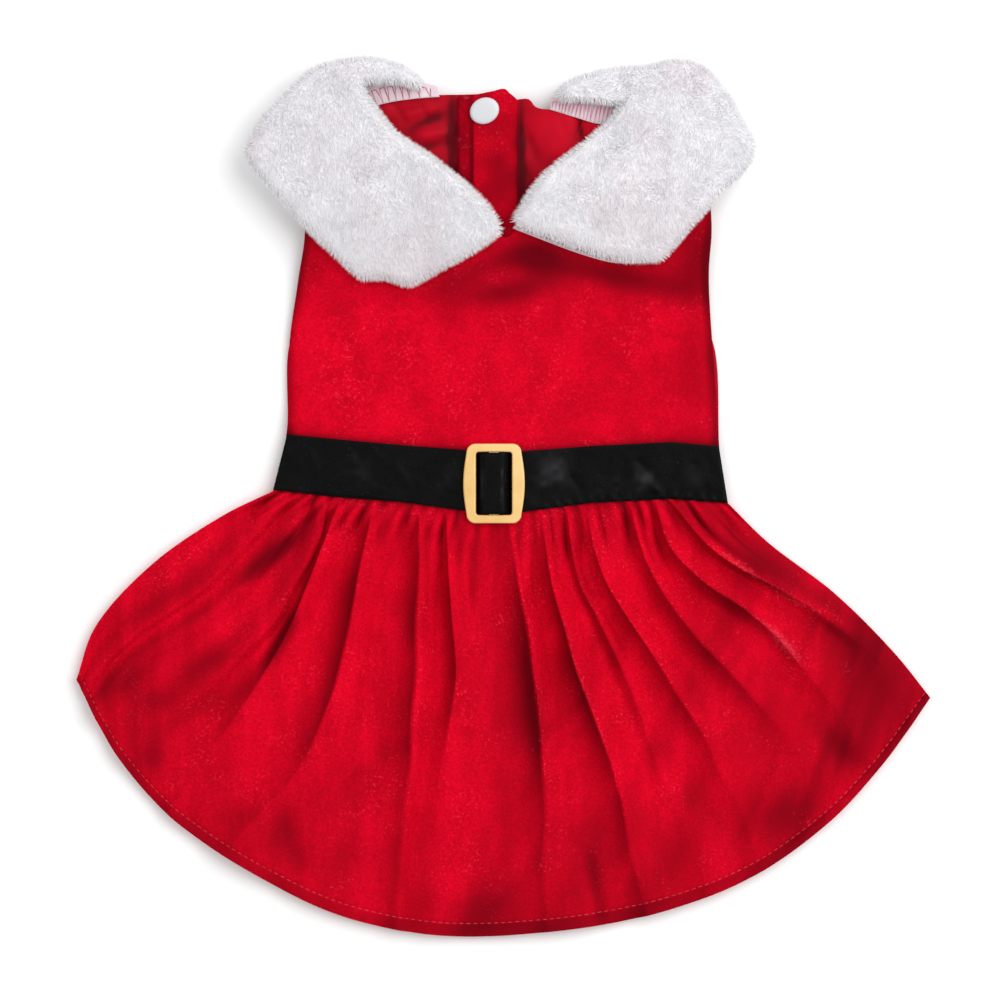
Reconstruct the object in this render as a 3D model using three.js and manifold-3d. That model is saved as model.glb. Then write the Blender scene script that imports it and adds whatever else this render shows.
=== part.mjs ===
// Pet santa costume laid flat on a table, seen side up. Millimetres, +X to the right of the wearer's
// picture, +Y towards the neck, +Z up from the table. The origin is under the middle of its outline.
import * as THREE from "three";
import { mergeVertices } from "three/addons/utils/BufferGeometryUtils.js";
import Module from "manifold-3d";

const { clamp, lerp, smoothstep } = THREE.MathUtils;

// Thickness of each material, and the space left between pieces that lie on each other.
const CLOTH_WALL = 1.4;
const RIBBON_WALL = 1.0;
const SEAM_GAP = 0.3;
const FUR_GAP = 0.6;
const LAYER = CLOTH_WALL + SEAM_GAP;
const STEEPEST_WALL = 1.8;

// Heights above the table.
const BELT_LIFT = RIBBON_WALL + SEAM_GAP;
const FLAP_DEPTH = 6.0;
const FLAP_LIFT = FLAP_DEPTH + SEAM_GAP;
const FUR_DEPTH = 8.0;
const NECK_SAG = { depth: 0.45, from: -34, full: -14, end: 8, gone: 27 };

// The seam between bodice and skirt lies under the belt, this far above the belt's lower edge.
const SEAM_ABOVE_BELT_EDGE = 8.0;

// The closure: both halves behind lap from LAP_LEFT to LAP_RIGHT.
const LAP_LEFT = -11.4;
const LAP_RIGHT = 6.4;
const LAP_SLOPE = 24.0;
const LAP_STEP = { from: 12.0, full: 1.0 };
const LAP_CLEAR = 4.0;
const PLACKET_FOOT = 84.0;
const PLACKET_RAMP = { from: 22.0, full: 2.0 };
const PLACKET_TOP = [
  { x: -18.2, y: 160.4 },
  { x: -13.4, y: 160.8 },
  { x: -5.0, y: 162.4 },
  { x: 0.6, y: 163.4 },
  { x: 3.0, y: 161.0 },
  { x: 6.0, y: 158.4 },
];

// Edges of the belt, in sections across the garment.
const BELT_SECTIONS = [
  { x: -92, top: 26.0, foot: 3.2 },
  { x: -67, top: 23.6, foot: 0.4 },
  { x: -41, top: 21.2, foot: -1.6 },
  { x: -15, top: 19.2, foot: -5.2 },
  { x: -10.8, top: 18.1, foot: -6.5 },
  { x: 3.2, top: 18.1, foot: -6.5 },
  { x: 9, top: 18.8, foot: -5.4 },
  { x: 35, top: 20.8, foot: -2.0 },
  { x: 67, top: 22.4, foot: -0.4 },
  { x: 90, top: 20.4, foot: -2.0 },
];
const BELT_TOP_ENDS = { left: -86.6, right: 86.2 };
const BELT_FOOT_ENDS = { left: -92.2, right: 89.8 };
const BELT_SPAN = { left: -90.0, right: 88.0 };

// Outline of the skirt: the belt's lower edge, both side folds and the hem.
const SKIRT_WAIST = [
  { x: -92.2, y: 2.8 },
  { x: -60.4, y: -0.4 },
  { x: -28.6, y: -3.6 },
  { x: -1.2, y: -5.6 },
  { x: 20.6, y: -3.4 },
  { x: 42.5, y: -2.4 },
  { x: 67.8, y: 0.0 },
  { x: 89.8, y: -2.0 },
];
const SKIRT_LEFT = [
  { x: -92.2, y: 2.8 },
  { x: -112.1, y: -6.9 },
  { x: -140.4, y: -26.3 },
  { x: -163.4, y: -51.6 },
  { x: -171.0, y: -72.8 },
];
const SKIRT_RIGHT = [
  { x: 89.8, y: -2.0 },
  { x: 105.9, y: -17.7 },
  { x: 132.8, y: -38.3 },
  { x: 156.9, y: -62.4 },
  { x: 171.0, y: -80.0 },
];
const SKIRT_HEM = [
  { x: -171.0, y: -72.8 },
  { x: -155.3, y: -102.3 },
  { x: -133.7, y: -127.4 },
  { x: -102.7, y: -148.8 },
  { x: -65.4, y: -167.1 },
  { x: -24.4, y: -175.2 },
  { x: 17.3, y: -173.7 },
  { x: 58.5, y: -166.9 },
  { x: 97.7, y: -152.6 },
  { x: 128.5, y: -131.4 },
  { x: 151.4, y: -107.1 },
  { x: 171.0, y: -80.0 },
];

// One row per fold of the skirt, left to right. The crease runs through shares of the skirt's width at
// the waist, the upper and lower thirds and the hem. The crest just right of it stands so many
// millimetres high there, and below the waist the cloth starts to rise lead millimetres before the
// crease. gathers counts the small ruffles at the waist up to the next crease.
const SKIRT_FOLDS = [
  { waist: 0.0, upper: 0.0, lower: 0.0, hem: 0.0, high: 2.0, low: 2.0, edge: 1.5, lead: 0, gathers: 1 },
  { waist: 0.03, upper: 0.075, lower: 0.042, hem: 0.014, high: 3.0, low: 3.0, edge: 1.5, lead: 9, gathers: 1 },
  { waist: 0.078, upper: 0.115, lower: 0.068, hem: 0.034, high: 3.5, low: 4.0, edge: 2.0, lead: 9, gathers: 1 },
  { waist: 0.11, upper: 0.196, lower: 0.138, hem: 0.07, high: 3.0, low: 3.5, edge: 1.8, lead: 9, gathers: 1 },
  { waist: 0.148, upper: 0.222, lower: 0.185, hem: 0.128, high: 6.5, low: 5.0, edge: 2.5, lead: 6, gathers: 2 },
  { waist: 0.21, upper: 0.272, lower: 0.281, hem: 0.215, high: 7.5, low: 8.5, edge: 4.0, lead: 8, gathers: 2 },
  { waist: 0.302, upper: 0.376, lower: 0.402, hem: 0.4, high: 8.0, low: 8.5, edge: 5.0, lead: 12, gathers: 2 },
  { waist: 0.381, upper: 0.442, lower: 0.45, hem: 0.432, high: 5.5, low: 3.5, edge: 0.8, lead: 5, gathers: 3 },
  { waist: 0.511, upper: 0.545, lower: 0.553, hem: 0.537, high: 8.5, low: 8.5, edge: 4.5, lead: 14, gathers: 2 },
  { waist: 0.582, upper: 0.597, lower: 0.633, hem: 0.64, high: 7.5, low: 8.0, edge: 4.0, lead: 10, gathers: 2 },
  { waist: 0.642, upper: 0.648, lower: 0.673, hem: 0.695, high: 3.5, low: 1.5, edge: 0.6, lead: 5, gathers: 1 },
  { waist: 0.683, upper: 0.694, lower: 0.737, hem: 0.752, high: 6.5, low: 5.5, edge: 2.0, lead: 10, gathers: 2 },
  { waist: 0.771, upper: 0.767, lower: 0.802, hem: 0.835, high: 5.5, low: 4.0, edge: 1.5, lead: 8, gathers: 2 },
  { waist: 0.828, upper: 0.843, lower: 0.883, hem: 0.886, high: 7.5, low: 5.5, edge: 2.5, lead: 8, gathers: 1 },
  { waist: 0.88, upper: 0.922, lower: 0.955, hem: 0.95, high: 6.0, low: 3.0, edge: 1.5, lead: 5, gathers: 3 },
  { waist: 1.0, upper: 1.0, lower: 1.0, hem: 1.0, high: 0.0, low: 0.0, edge: 0.0, lead: 0, gathers: 0 },
];
const FOLD_STATIONS = { waist: 0.0, upper: 0.3, lower: 0.65, hem: 1.0 };
const LEAD_FULL_AT = 0.35;
const CREST_AFTER_CREASE = 4.5;
const CREST_SHARES = { least: 0.12, most: 0.6 };
const RISE_BEND = 1.6;
const FALL_BEND = 0.8;
const GATHER_HEIGHT = 2.6;
const GATHER_UNEVEN = { depth: 0.28, perFold: 3, across: 5 };
const GATHER_REACH = { from: 0, full: 0.045, end: 0.1, gone: 0.36 };
const SKIRT_ACROSS = { waist: 182, hem: 418 };
const BACK_FOLLOWS = 0.75;
const BACK_STAYS_FLAT = 1.9;
const RUFFLES_BELOW_BELT = 0.9;
const SEAM_NARROWER = 0.975;
// Shares of the way from waist to hem over which the skirt comes down from the belt and from the lap.
const WAIST_SETTLES = 0.1;
const LAP_SETTLES = 0.16;
// The buckle presses the ruffles under it flat.
const BUCKLE_PRESS = { depth: 0.8, from: -26, full: -17, end: 9, gone: 18, below: 0.1, free: 0.22 };

// Shares of the way from waist to hem at which the skirt has a row of vertices.
const SKIRT_ROWS = [0.0, 0.04, 0.09, 0.16, 0.25, 0.36, 0.48, 0.61, 0.74, 0.86, 0.935, 0.955, 1.0];
const HEM_STITCH = 0.935;
const HEM_FOLD_EXTRA = 0.5;

// Outline of the bodice: sides from the waist seam to the shoulder, and the V neck in front.
const BODICE_LEFT = [
  { x: -90.0, y: 11.2 },
  { x: -86.8, y: 26.4 },
  { x: -85.8, y: 61.6 },
  { x: -82.2, y: 87.2 },
  { x: -79.4, y: 107.2 },
  { x: -82.0, y: 124.0 },
];
const BODICE_RIGHT = [
  { x: 87.4, y: 6.2 },
  { x: 86.4, y: 20.4 },
  { x: 84.6, y: 48.8 },
  { x: 82.2, y: 89.2 },
  { x: 83.2, y: 107.2 },
  { x: 82.0, y: 126.0 },
];
const NECK_LEFT = [
  { x: -82.0, y: 124.0 },
  { x: -60.0, y: 150.0 },
  { x: -47.0, y: 145.0 },
  { x: -28.0, y: 130.0 },
  { x: -12.0, y: 115.5 },
  { x: 0.8, y: 104.0 },
];
const NECK_RIGHT = [
  { x: 0.8, y: 104.0 },
  { x: 10.0, y: 115.0 },
  { x: 25.0, y: 129.0 },
  { x: 42.0, y: 143.0 },
  { x: 60.0, y: 152.0 },
  { x: 82.0, y: 126.0 },
];

// Outline of the two halves behind: sides with the leg openings, and the back neck.
const BACK_LEFT_SIDE = [
  { x: -90.0, y: 11.2 },
  { x: -86.8, y: 26.4 },
  { x: -85.8, y: 61.6 },
  { x: -78.0, y: 78.0 },
  { x: -71.0, y: 96.0 },
  { x: -74.0, y: 112.0 },
  { x: -82.0, y: 124.0 },
];
const BACK_RIGHT_SIDE = [
  { x: 87.4, y: 6.2 },
  { x: 86.4, y: 20.4 },
  { x: 84.6, y: 60.0 },
  { x: 77.0, y: 78.0 },
  { x: 71.0, y: 96.0 },
  { x: 74.0, y: 113.0 },
  { x: 82.0, y: 126.0 },
];
const BACK_NECK_LEFT = [
  { x: -82.0, y: 124.0 },
  { x: -62.0, y: 150.0 },
  { x: -52.0, y: 158.4 },
  { x: -41.4, y: 160.0 },
  { x: -25.4, y: 161.2 },
  { x: -9.0, y: 161.6 },
  { x: 0.6, y: 162.8 },
  { x: LAP_RIGHT, y: 158.6 },
];
const BACK_NECK_RIGHT = [
  { x: LAP_LEFT, y: 159.0 },
  { x: 3.0, y: 159.2 },
  { x: 10.2, y: 159.6 },
  { x: 13.0, y: 156.4 },
  { x: 22.6, y: 154.8 },
  { x: 38.6, y: 150.4 },
  { x: 60.0, y: 152.0 },
  { x: 82.0, y: 126.0 },
];

// Outline of the collar. Each side has a lapel on top, a rim that wraps the shoulder, a flap under the
// half behind, and a seam allowance that shows at the back neck.
const COLLAR_LEFT = {
  fold: [
    { x: -103.8, y: 139.2 },
    { x: -96.6, y: 151.2 },
    { x: -87.4, y: 161.0 },
    { x: -75.4, y: 171.8 },
    { x: -65.4, y: 174.4 },
    { x: -53.0, y: 175.6 },
  ],
  lower: [
    { x: -56.6, y: 86.8 },
    { x: -43.4, y: 86.2 },
    { x: -36.4, y: 83.4 },
    { x: -25.4, y: 88.4 },
    { x: -9.4, y: 97.0 },
    { x: 1.0, y: 104.6 },
  ],
  outer: [
    { x: -103.8, y: 139.2 },
    { x: -100.4, y: 131.6 },
    { x: -89.4, y: 119.2 },
    { x: -79.4, y: 108.0 },
    { x: -56.6, y: 86.8 },
  ],
  inner: [
    { x: -53.0, y: 175.6 },
    { x: -54.0, y: 164.0 },
    { x: -49.4, y: 156.2 },
    { x: -41.4, y: 146.0 },
    { x: -25.4, y: 135.4 },
    { x: -9.4, y: 120.8 },
    { x: 1.0, y: 104.6 },
  ],
  rim: [
    { x: -103.0, y: 138.6 },
    { x: -96.6, y: 151.2 },
    { x: -87.4, y: 161.0 },
    { x: -75.4, y: 171.8 },
    { x: -65.4, y: 174.4 },
    { x: -53.0, y: 175.8 },
    { x: -45.4, y: 174.0 },
    { x: -37.4, y: 170.0 },
    { x: -31.6, y: 164.0 },
  ],
  rimInside: [
    { x: -95.0, y: 134.6 },
    { x: -88.0, y: 146.0 },
    { x: -80.0, y: 155.0 },
    { x: -71.0, y: 163.0 },
    { x: -63.0, y: 166.0 },
    { x: -54.0, y: 166.6 },
    { x: -46.0, y: 166.8 },
    { x: -41.0, y: 166.4 },
    { x: -34.6, y: 164.6 },
  ],
  flap: [
    { x: -100.6, y: 138.6 },
    { x: -89.0, y: 157.0 },
    { x: -74.0, y: 169.6 },
    { x: -52.0, y: 172.0 },
    { x: -34.0, y: 163.6 },
  ],
  flapFoot: [
    { x: -99.0, y: 135.0 },
    { x: -88.0, y: 127.6 },
    { x: -64.0, y: 126.0 },
    { x: -44.0, y: 129.6 },
    { x: -34.0, y: 143.0 },
  ],
  allowance: [
    { x: -56.0, y: 168.0 },
    { x: -46.0, y: 168.6 },
    { x: -38.0, y: 166.6 },
    { x: -25.6, y: 163.8 },
  ],
  allowanceFoot: [
    { x: -53.0, y: 157.4 },
    { x: -46.0, y: 158.2 },
    { x: -38.0, y: 159.2 },
    { x: -25.6, y: 160.2 },
  ],
};
const COLLAR_RIGHT = {
  fold: [
    { x: 44.0, y: 172.2 },
    { x: 58.6, y: 172.8 },
    { x: 68.6, y: 174.8 },
    { x: 78.6, y: 173.0 },
    { x: 88.6, y: 163.2 },
    { x: 93.0, y: 155.0 },
    { x: 100.2, y: 142.4 },
  ],
  lower: [
    { x: 2.8, y: 107.6 },
    { x: 14.6, y: 103.0 },
    { x: 30.6, y: 97.2 },
    { x: 44.6, y: 93.6 },
    { x: 62.6, y: 94.0 },
  ],
  outer: [
    { x: 100.2, y: 142.4 },
    { x: 98.6, y: 133.2 },
    { x: 88.6, y: 122.8 },
    { x: 78.6, y: 112.0 },
    { x: 62.6, y: 94.0 },
  ],
  inner: [
    { x: 44.0, y: 172.2 },
    { x: 46.4, y: 161.0 },
    { x: 42.6, y: 152.0 },
    { x: 30.6, y: 141.4 },
    { x: 14.6, y: 128.2 },
    { x: 2.8, y: 107.6 },
  ],
  rim: [
    { x: 20.2, y: 160.6 },
    { x: 26.6, y: 166.0 },
    { x: 34.6, y: 169.4 },
    { x: 44.0, y: 172.2 },
    { x: 58.6, y: 172.8 },
    { x: 68.6, y: 174.8 },
    { x: 78.6, y: 173.0 },
    { x: 88.6, y: 163.2 },
    { x: 93.0, y: 155.0 },
    { x: 99.4, y: 141.8 },
  ],
  rimInside: [
    { x: 23.0, y: 159.4 },
    { x: 28.6, y: 159.8 },
    { x: 36.0, y: 159.2 },
    { x: 45.0, y: 158.2 },
    { x: 56.0, y: 161.0 },
    { x: 66.0, y: 165.2 },
    { x: 74.0, y: 163.0 },
    { x: 80.6, y: 156.0 },
    { x: 85.0, y: 149.0 },
    { x: 91.0, y: 138.4 },
  ],
  flap: [
    { x: 27.0, y: 163.0 },
    { x: 46.0, y: 169.0 },
    { x: 68.0, y: 171.0 },
    { x: 84.0, y: 162.0 },
    { x: 97.6, y: 141.0 },
  ],
  flapFoot: [
    { x: 29.0, y: 144.0 },
    { x: 38.0, y: 130.0 },
    { x: 60.0, y: 126.0 },
    { x: 84.0, y: 128.6 },
    { x: 97.0, y: 137.6 },
  ],
  allowance: [
    { x: 17.6, y: 159.4 },
    { x: 26.0, y: 162.6 },
    { x: 36.0, y: 165.4 },
    { x: 47.0, y: 166.0 },
  ],
  allowanceFoot: [
    { x: 15.6, y: 154.2 },
    { x: 24.0, y: 152.6 },
    { x: 33.0, y: 150.6 },
    { x: 43.6, y: 149.6 },
  ],
};
const LAPEL_SIZE = { across: 96, down: 72 };
const LAPEL_STATIONS = [0, 0.018, 0.06, 0.15, 0.28, 0.42, 0.56, 0.7, 0.82, 0.92, 0.98, 1];
const FLAP_STATIONS = { across: [0, 0.04, 0.2, 0.4, 0.6, 0.8, 0.96, 1], down: [0, 0.08, 0.5, 0.93, 1] };
const FLAP_ROUND = 1.8;
const FUR_EDGE_ROUND = 7.0;
const FUR_EDGE_SHARE = 0.35;
const FUR_UNDERCUT = 0.3;
const FUR_LUMP = 0.7;
const FUR_LUMP_LENGTH = { x: 8.5, y: 6.0 };
// The rim comes down to the cloth over the first and last twelfth of its length.
const RIM_TUCK = 12;
// Section through the rim, from its outer edge inwards.
const RIM_SECTION = [
  { share: 0.0, low: 2.4, high: 12.0 },
  { share: 0.14, low: 0.7, high: 15.4 },
  { share: 0.42, low: 0.0, high: 17.6 },
  { share: 1.0, low: 0.0, high: 17.6 },
];

// Slide buckle: outline half sizes, bars, and the hidden bar that the belt passes over.
const BUCKLE_CENTRE = { x: -3.8, y: 5.8 };
const BUCKLE_HALF = { corner: 11.0, middle: 12.3, height: 15.9 };
const BUCKLE_OPENING = { half: 7.2, height: 12.6, round: 1.2 };
const BUCKLE_ROUND = 3.6;
const BUCKLE_THICK = 2.4;
const BUCKLE_BEVEL = 0.5;
const BUCKLE_BAR = { half: 2.0, thick: 1.6, intoFrame: 1.0, ribbonClear: 1.2 };
const BUCKLE_CURVE_STEPS = 4;

// Snap of the closure, seen inside the neck, and its outer cap.
const SNAP = { x: -7.6, y: 154.6, radius: 6.0, thick: 1.6 };
const SNAP_SIDES = 18;
const SNAP_FACE_SHARE = 0.72;

// Numbers of even steps across and down each plain piece.
const STEPS = {
  bodiceAcross: 24,
  halfAcross: 12,
  placketDown: 9,
  beltFrontDown: 4,
  beltBackAcross: 16,
  beltBackDown: 1,
  rimAlong: 18,
  allowanceAlong: 6,
  allowanceDown: 2,
};
const JOIN_WITHIN = 1e-3;

const plateau = (x, { from, full, end, gone }) =>
  smoothstep(x, from, full) * (1 - smoothstep(x, end, gone));

function curveThrough(rows) {
  const points = rows.map(({ x, y }) => new THREE.Vector3(x, y, 0));
  return new THREE.CatmullRomCurve3(points, false, "centripetal");
}

// Position in a panel whose near and far edges run left to right and whose sides run near to far.
function panelBetween(near, far, left, right) {
  const [n, f, l, r] = [near, far, left, right].map(curveThrough);
  const corners = [n.getPoint(0), n.getPoint(1), f.getPoint(0), f.getPoint(1)];
  return (u, v) => {
    const across = n.getPointAt(u).multiplyScalar(1 - v).addScaledVector(f.getPointAt(u), v);
    const along = l.getPointAt(v).multiplyScalar(1 - u).addScaledVector(r.getPointAt(v), u);
    return across
      .add(along)
      .addScaledVector(corners[0], -(1 - u) * (1 - v))
      .addScaledVector(corners[1], -u * (1 - v))
      .addScaledVector(corners[2], -(1 - u) * v)
      .addScaledVector(corners[3], -u * v);
  };
}

// Position in a strip between two edges that run the same way.
function stripBetween(near, far) {
  const [n, f] = [near, far].map(curveThrough);
  return (u, v) => n.getPoint(u).lerp(f.getPoint(u), v);
}

// One closed solid from rows of vertices that each hold x, y and the low and high face.
function solidFromRows(rows) {
  const [down, across] = [rows.length, rows[0].length];
  const positions = [];
  for (const face of ["low", "high"]) {
    for (const row of rows) {
      for (const vertex of row) positions.push(vertex.x, vertex.y, vertex[face]);
    }
  }
  const at = (i, j, face) => face * down * across + i * across + j;
  const index = [];
  const quad = (a, b, c, d) => index.push(a, b, c, a, c, d);
  for (let i = 0; i < down - 1; i += 1) {
    for (let j = 0; j < across - 1; j += 1) {
      quad(at(i, j, 1), at(i + 1, j, 1), at(i + 1, j + 1, 1), at(i, j + 1, 1));
      quad(at(i, j, 0), at(i, j + 1, 0), at(i + 1, j + 1, 0), at(i + 1, j, 0));
    }
  }
  for (let i = 0; i < down - 1; i += 1) {
    quad(at(i, 0, 1), at(i, 0, 0), at(i + 1, 0, 0), at(i + 1, 0, 1));
    quad(at(i, across - 1, 0), at(i, across - 1, 1), at(i + 1, across - 1, 1), at(i + 1, across - 1, 0));
  }
  for (let j = 0; j < across - 1; j += 1) {
    quad(at(0, j, 0), at(0, j, 1), at(0, j + 1, 1), at(0, j + 1, 0));
    quad(at(down - 1, j, 1), at(down - 1, j, 0), at(down - 1, j + 1, 0), at(down - 1, j + 1, 1));
  }
  const geometry = new THREE.BufferGeometry();
  geometry.setAttribute("position", new THREE.Float32BufferAttribute(positions, 3));
  geometry.setIndex(facesOutward(positions, index));
  return geometry;
}

// The faces as given, or all turned round where they enclose a negative volume.
function facesOutward(positions, index) {
  const point = (k) => new THREE.Vector3().fromArray(positions, 3 * k);
  let volume = 0;
  for (let k = 0; k < index.length; k += 3) {
    volume += point(index[k]).dot(point(index[k + 1]).cross(point(index[k + 2])));
  }
  if (volume > 0) return index;
  const turned = [];
  for (let k = 0; k < index.length; k += 3) turned.push(index[k], index[k + 2], index[k + 1]);
  return turned;
}

// Sets each vertex's high face so that the wall keeps its thickness on a slope.
function raiseWall(rows, wall) {
  const slope = (a, b) => Math.abs(b.low - a.low) / Math.hypot(b.x - a.x, b.y - a.y);
  for (const row of rows) {
    row.forEach((vertex, j) => {
      const before = j > 0 ? slope(row[j - 1], vertex) : 0;
      const after = j < row.length - 1 ? slope(vertex, row[j + 1]) : 0;
      const steep = Math.hypot(1, Math.min(before, after));
      vertex.high = vertex.low + (wall + (vertex.extra ?? 0)) * Math.min(steep, STEEPEST_WALL);
    });
  }
  return rows;
}

function clothFrom(place, across, down, lowAt, wall = CLOTH_WALL) {
  const rows = down.map((v) =>
    across.map((u) => {
      const { x, y } = place(u, v);
      return { x, y, low: lowAt(x, y, u, v) };
    }),
  );
  return solidFromRows(raiseWall(rows, wall));
}

const evenly = (count) => Array.from({ length: count + 1 }, (_, k) => k / count);

// The named column of a table at x, straight between its rows.
function columnAt(rows, x, column) {
  const after = rows.findIndex((row) => row.x > x);
  const k = after < 0 ? rows.length - 2 : Math.max(after - 1, 0);
  return lerp(rows[k][column], rows[k + 1][column], (x - rows[k].x) / (rows[k + 1].x - rows[k].x));
}
const beltEdge = (x, edge) => columnAt(BELT_SECTIONS, x, edge);

// How far things below lift the halves behind: the belt at the waist, the collar's flaps at the neck.
const BELT_RAMP = { from: 1.0, full: 14.0 };
const FLAP_RAMP = { from: 72.0, full: 124.0 };
const SHOULDER_EASE = { height: 0.3, from: 55.0, full: 80.0 };
function liftBehind(x, y) {
  const top = beltEdge(x, "top");
  const belt = BELT_LIFT * (1 - smoothstep(y, top + BELT_RAMP.from, top + BELT_RAMP.full));
  const sag = NECK_SAG.depth * plateau(x, NECK_SAG);
  return belt + FLAP_LIFT * smoothstep(y, FLAP_RAMP.from, FLAP_RAMP.full) * (1 - sag);
}

// How far the lap and the placket lift what lies over them.
const LAP = { from: LAP_LEFT - LAP_SLOPE, full: LAP_LEFT, end: LAP_RIGHT, gone: LAP_RIGHT + LAP_SLOPE };
const lapLift = (x) => LAYER * plateau(x, LAP);
const placketLift = (x, y) =>
  lapLift(x) * smoothstep(y, PLACKET_FOOT - PLACKET_RAMP.from, PLACKET_FOOT - PLACKET_RAMP.full);
const lapSelfLift = (x) => LAYER * smoothstep(x, LAP_LEFT - LAP_STEP.from, LAP_LEFT - LAP_STEP.full);
const shoulderEase = (y) => SHOULDER_EASE.height * smoothstep(y, SHOULDER_EASE.from, SHOULDER_EASE.full);
const frontLow = (x, y) => liftBehind(x, y) + LAYER + shoulderEase(y) + lapLift(x) + placketLift(x, y);

// A value that runs through the four stations of a fold.
function alongFold(v, values) {
  const stations = Object.values(FOLD_STATIONS);
  let sum = 0;
  stations.forEach((here, i) => {
    let share = 1;
    stations.forEach((other, j) => {
      if (i !== j) share *= (v - other) / (here - other);
    });
    sum += values[i] * share;
  });
  return sum;
}
const creaseAt = (fold, v) => alongFold(v, [fold.waist, fold.upper, fold.lower, fold.hem]);
const crestAt = (fold, v) => Math.max(0, alongFold(v, [0, fold.high, fold.low, fold.edge]));
const skirtAcross = (v) => lerp(SKIRT_ACROSS.waist, SKIRT_ACROSS.hem, v);

// Where the rise towards a fold's crest begins, at most halfway back to the crease before.
function foldStart(index, v) {
  const crease = creaseAt(SKIRT_FOLDS[index], v);
  if (index === 0 || index === SKIRT_FOLDS.length - 1) return crease;
  const before = creaseAt(SKIRT_FOLDS[index - 1], v);
  const lead = SKIRT_FOLDS[index].lead * smoothstep(v, 0, LEAD_FULL_AT);
  return Math.max(crease - lead / skirtAcross(v), (before + crease) / 2);
}

// Share of the skirt's width and height of the main fold at one column of vertices.
function foldColumn(column, v) {
  const here = SKIRT_FOLDS[column.fold];
  const start = foldStart(column.fold, v);
  const end = foldStart(Math.min(column.fold + 1, SKIRT_FOLDS.length - 1), v);
  const [least, most] = [CREST_SHARES.least, CREST_SHARES.most].map((share) => lerp(start, end, share));
  const crest = clamp(creaseAt(here, v) + CREST_AFTER_CREASE / skirtAcross(v), least, most);
  if (column.up !== undefined) {
    return { u: lerp(start, crest, column.up), height: crestAt(here, v) * column.up ** RISE_BEND };
  }
  const fall = (1 + Math.cos(Math.PI * column.down ** FALL_BEND)) / 2;
  return { u: lerp(crest, end, column.down), height: crestAt(here, v) * fall };
}

// Columns of vertices: up and down the crest of each fold, with the ruffles between.
function frontColumns() {
  const columns = [];
  SKIRT_FOLDS.forEach(({ gathers }, fold) => {
    columns.push({ fold, up: 0, ruffle: 0 });
    if (gathers === 0) return;
    columns.push({ fold, up: 0.5, ruffle: 0.5 });
    const halfWaves = 2 * gathers - 1;
    for (let k = 0; k < 2 * halfWaves; k += 1) {
      columns.push({ fold, down: k / (2 * halfWaves), ruffle: (1 + Math.cos((Math.PI * k) / 2)) / 2 });
    }
  });
  return columns;
}
function backColumns() {
  return SKIRT_FOLDS.flatMap(({ gathers }, fold) =>
    gathers
      ? [{ fold, up: 0 }, { fold, up: 0.5 }, { fold, down: 0 }, { fold, down: 0.5 }]
      : [{ fold, up: 0 }],
  );
}

const skirtPlace = panelBetween(SKIRT_WAIST, SKIRT_HEM, SKIRT_LEFT, SKIRT_RIGHT);
const ruffleAt = (v) => GATHER_HEIGHT * plateau(v, GATHER_REACH);
const settleAtWaist = (v, reach) => 1 - smoothstep(v, 0, reach);
const underBuckle = (x, v) =>
  1 - BUCKLE_PRESS.depth * plateau(x, BUCKLE_PRESS) * (1 - smoothstep(v, BUCKLE_PRESS.below, BUCKLE_PRESS.free));

// Rows of the skirt from the waist seam, under the belt, down to the hem.
function skirtRows(columns, vertexAt) {
  const rows = SKIRT_ROWS.map((v) => columns.map((column) => vertexAt(column, v)));
  const seamUp = SEAM_ABOVE_BELT_EDGE - SEAM_GAP;
  const seam = rows[0].map((vertex) => ({ ...vertex, x: SEAM_NARROWER * vertex.x, y: vertex.y + seamUp }));
  rows[0].forEach((vertex) => {
    vertex.y -= RUFFLES_BELOW_BELT;
  });
  return [seam, ...rows];
}

function skirtFront() {
  const rows = skirtRows(frontColumns(), (column, v) => {
    const { u, height } = foldColumn(column, v);
    const { x, y } = skirtPlace(clamp(u, 0, 1), v);
    const phase = GATHER_UNEVEN.perFold * column.fold + GATHER_UNEVEN.across * u;
    const uneven = 1 - GATHER_UNEVEN.depth * (1 + Math.sin(phase));
    const folds = (height + ruffleAt(v) * column.ruffle * uneven) * underBuckle(x, v);
    const lift = BELT_LIFT * settleAtWaist(v, WAIST_SETTLES) + lapLift(x) * settleAtWaist(v, LAP_SETTLES);
    return { x, y, low: LAYER + lift + folds, extra: v > HEM_STITCH ? HEM_FOLD_EXTRA : 0 };
  });
  return solidFromRows(raiseWall(rows, CLOTH_WALL));
}

function skirtBack() {
  const rows = skirtRows(backColumns(), (column, v) => {
    const { u, height } = foldColumn(column, v);
    const { x, y } = skirtPlace(clamp(u, 0, 1), v);
    const follows = BACK_FOLLOWS * Math.max(0, height * underBuckle(x, v) - BACK_STAYS_FLAT);
    return { x, y, low: BELT_LIFT * settleAtWaist(v, WAIST_SETTLES) + follows };
  });
  return solidFromRows(raiseWall(rows, CLOTH_WALL));
}

// The bodice seam, a step above the belt's lower edge.
const bodiceFoot = SKIRT_WAIST.map(({ x, y }, k) => {
  const last = SKIRT_WAIST.length - 1;
  if (k === 0) return BODICE_LEFT[0];
  return k === last ? BODICE_RIGHT[0] : { x, y: y + SEAM_ABOVE_BELT_EDGE };
});
const BODICE_ROWS = [0, 0.1, 0.17, 0.26, 0.38, 0.5, 0.6, 0.7, 0.79, 0.87, 0.94, 1];

function bodiceFront() {
  const neck = [...NECK_LEFT, ...NECK_RIGHT.slice(1)];
  const place = panelBetween(bodiceFoot, neck, BODICE_LEFT, BODICE_RIGHT);
  return clothFrom(place, evenly(STEPS.bodiceAcross), BODICE_ROWS, frontLow);
}

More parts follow.
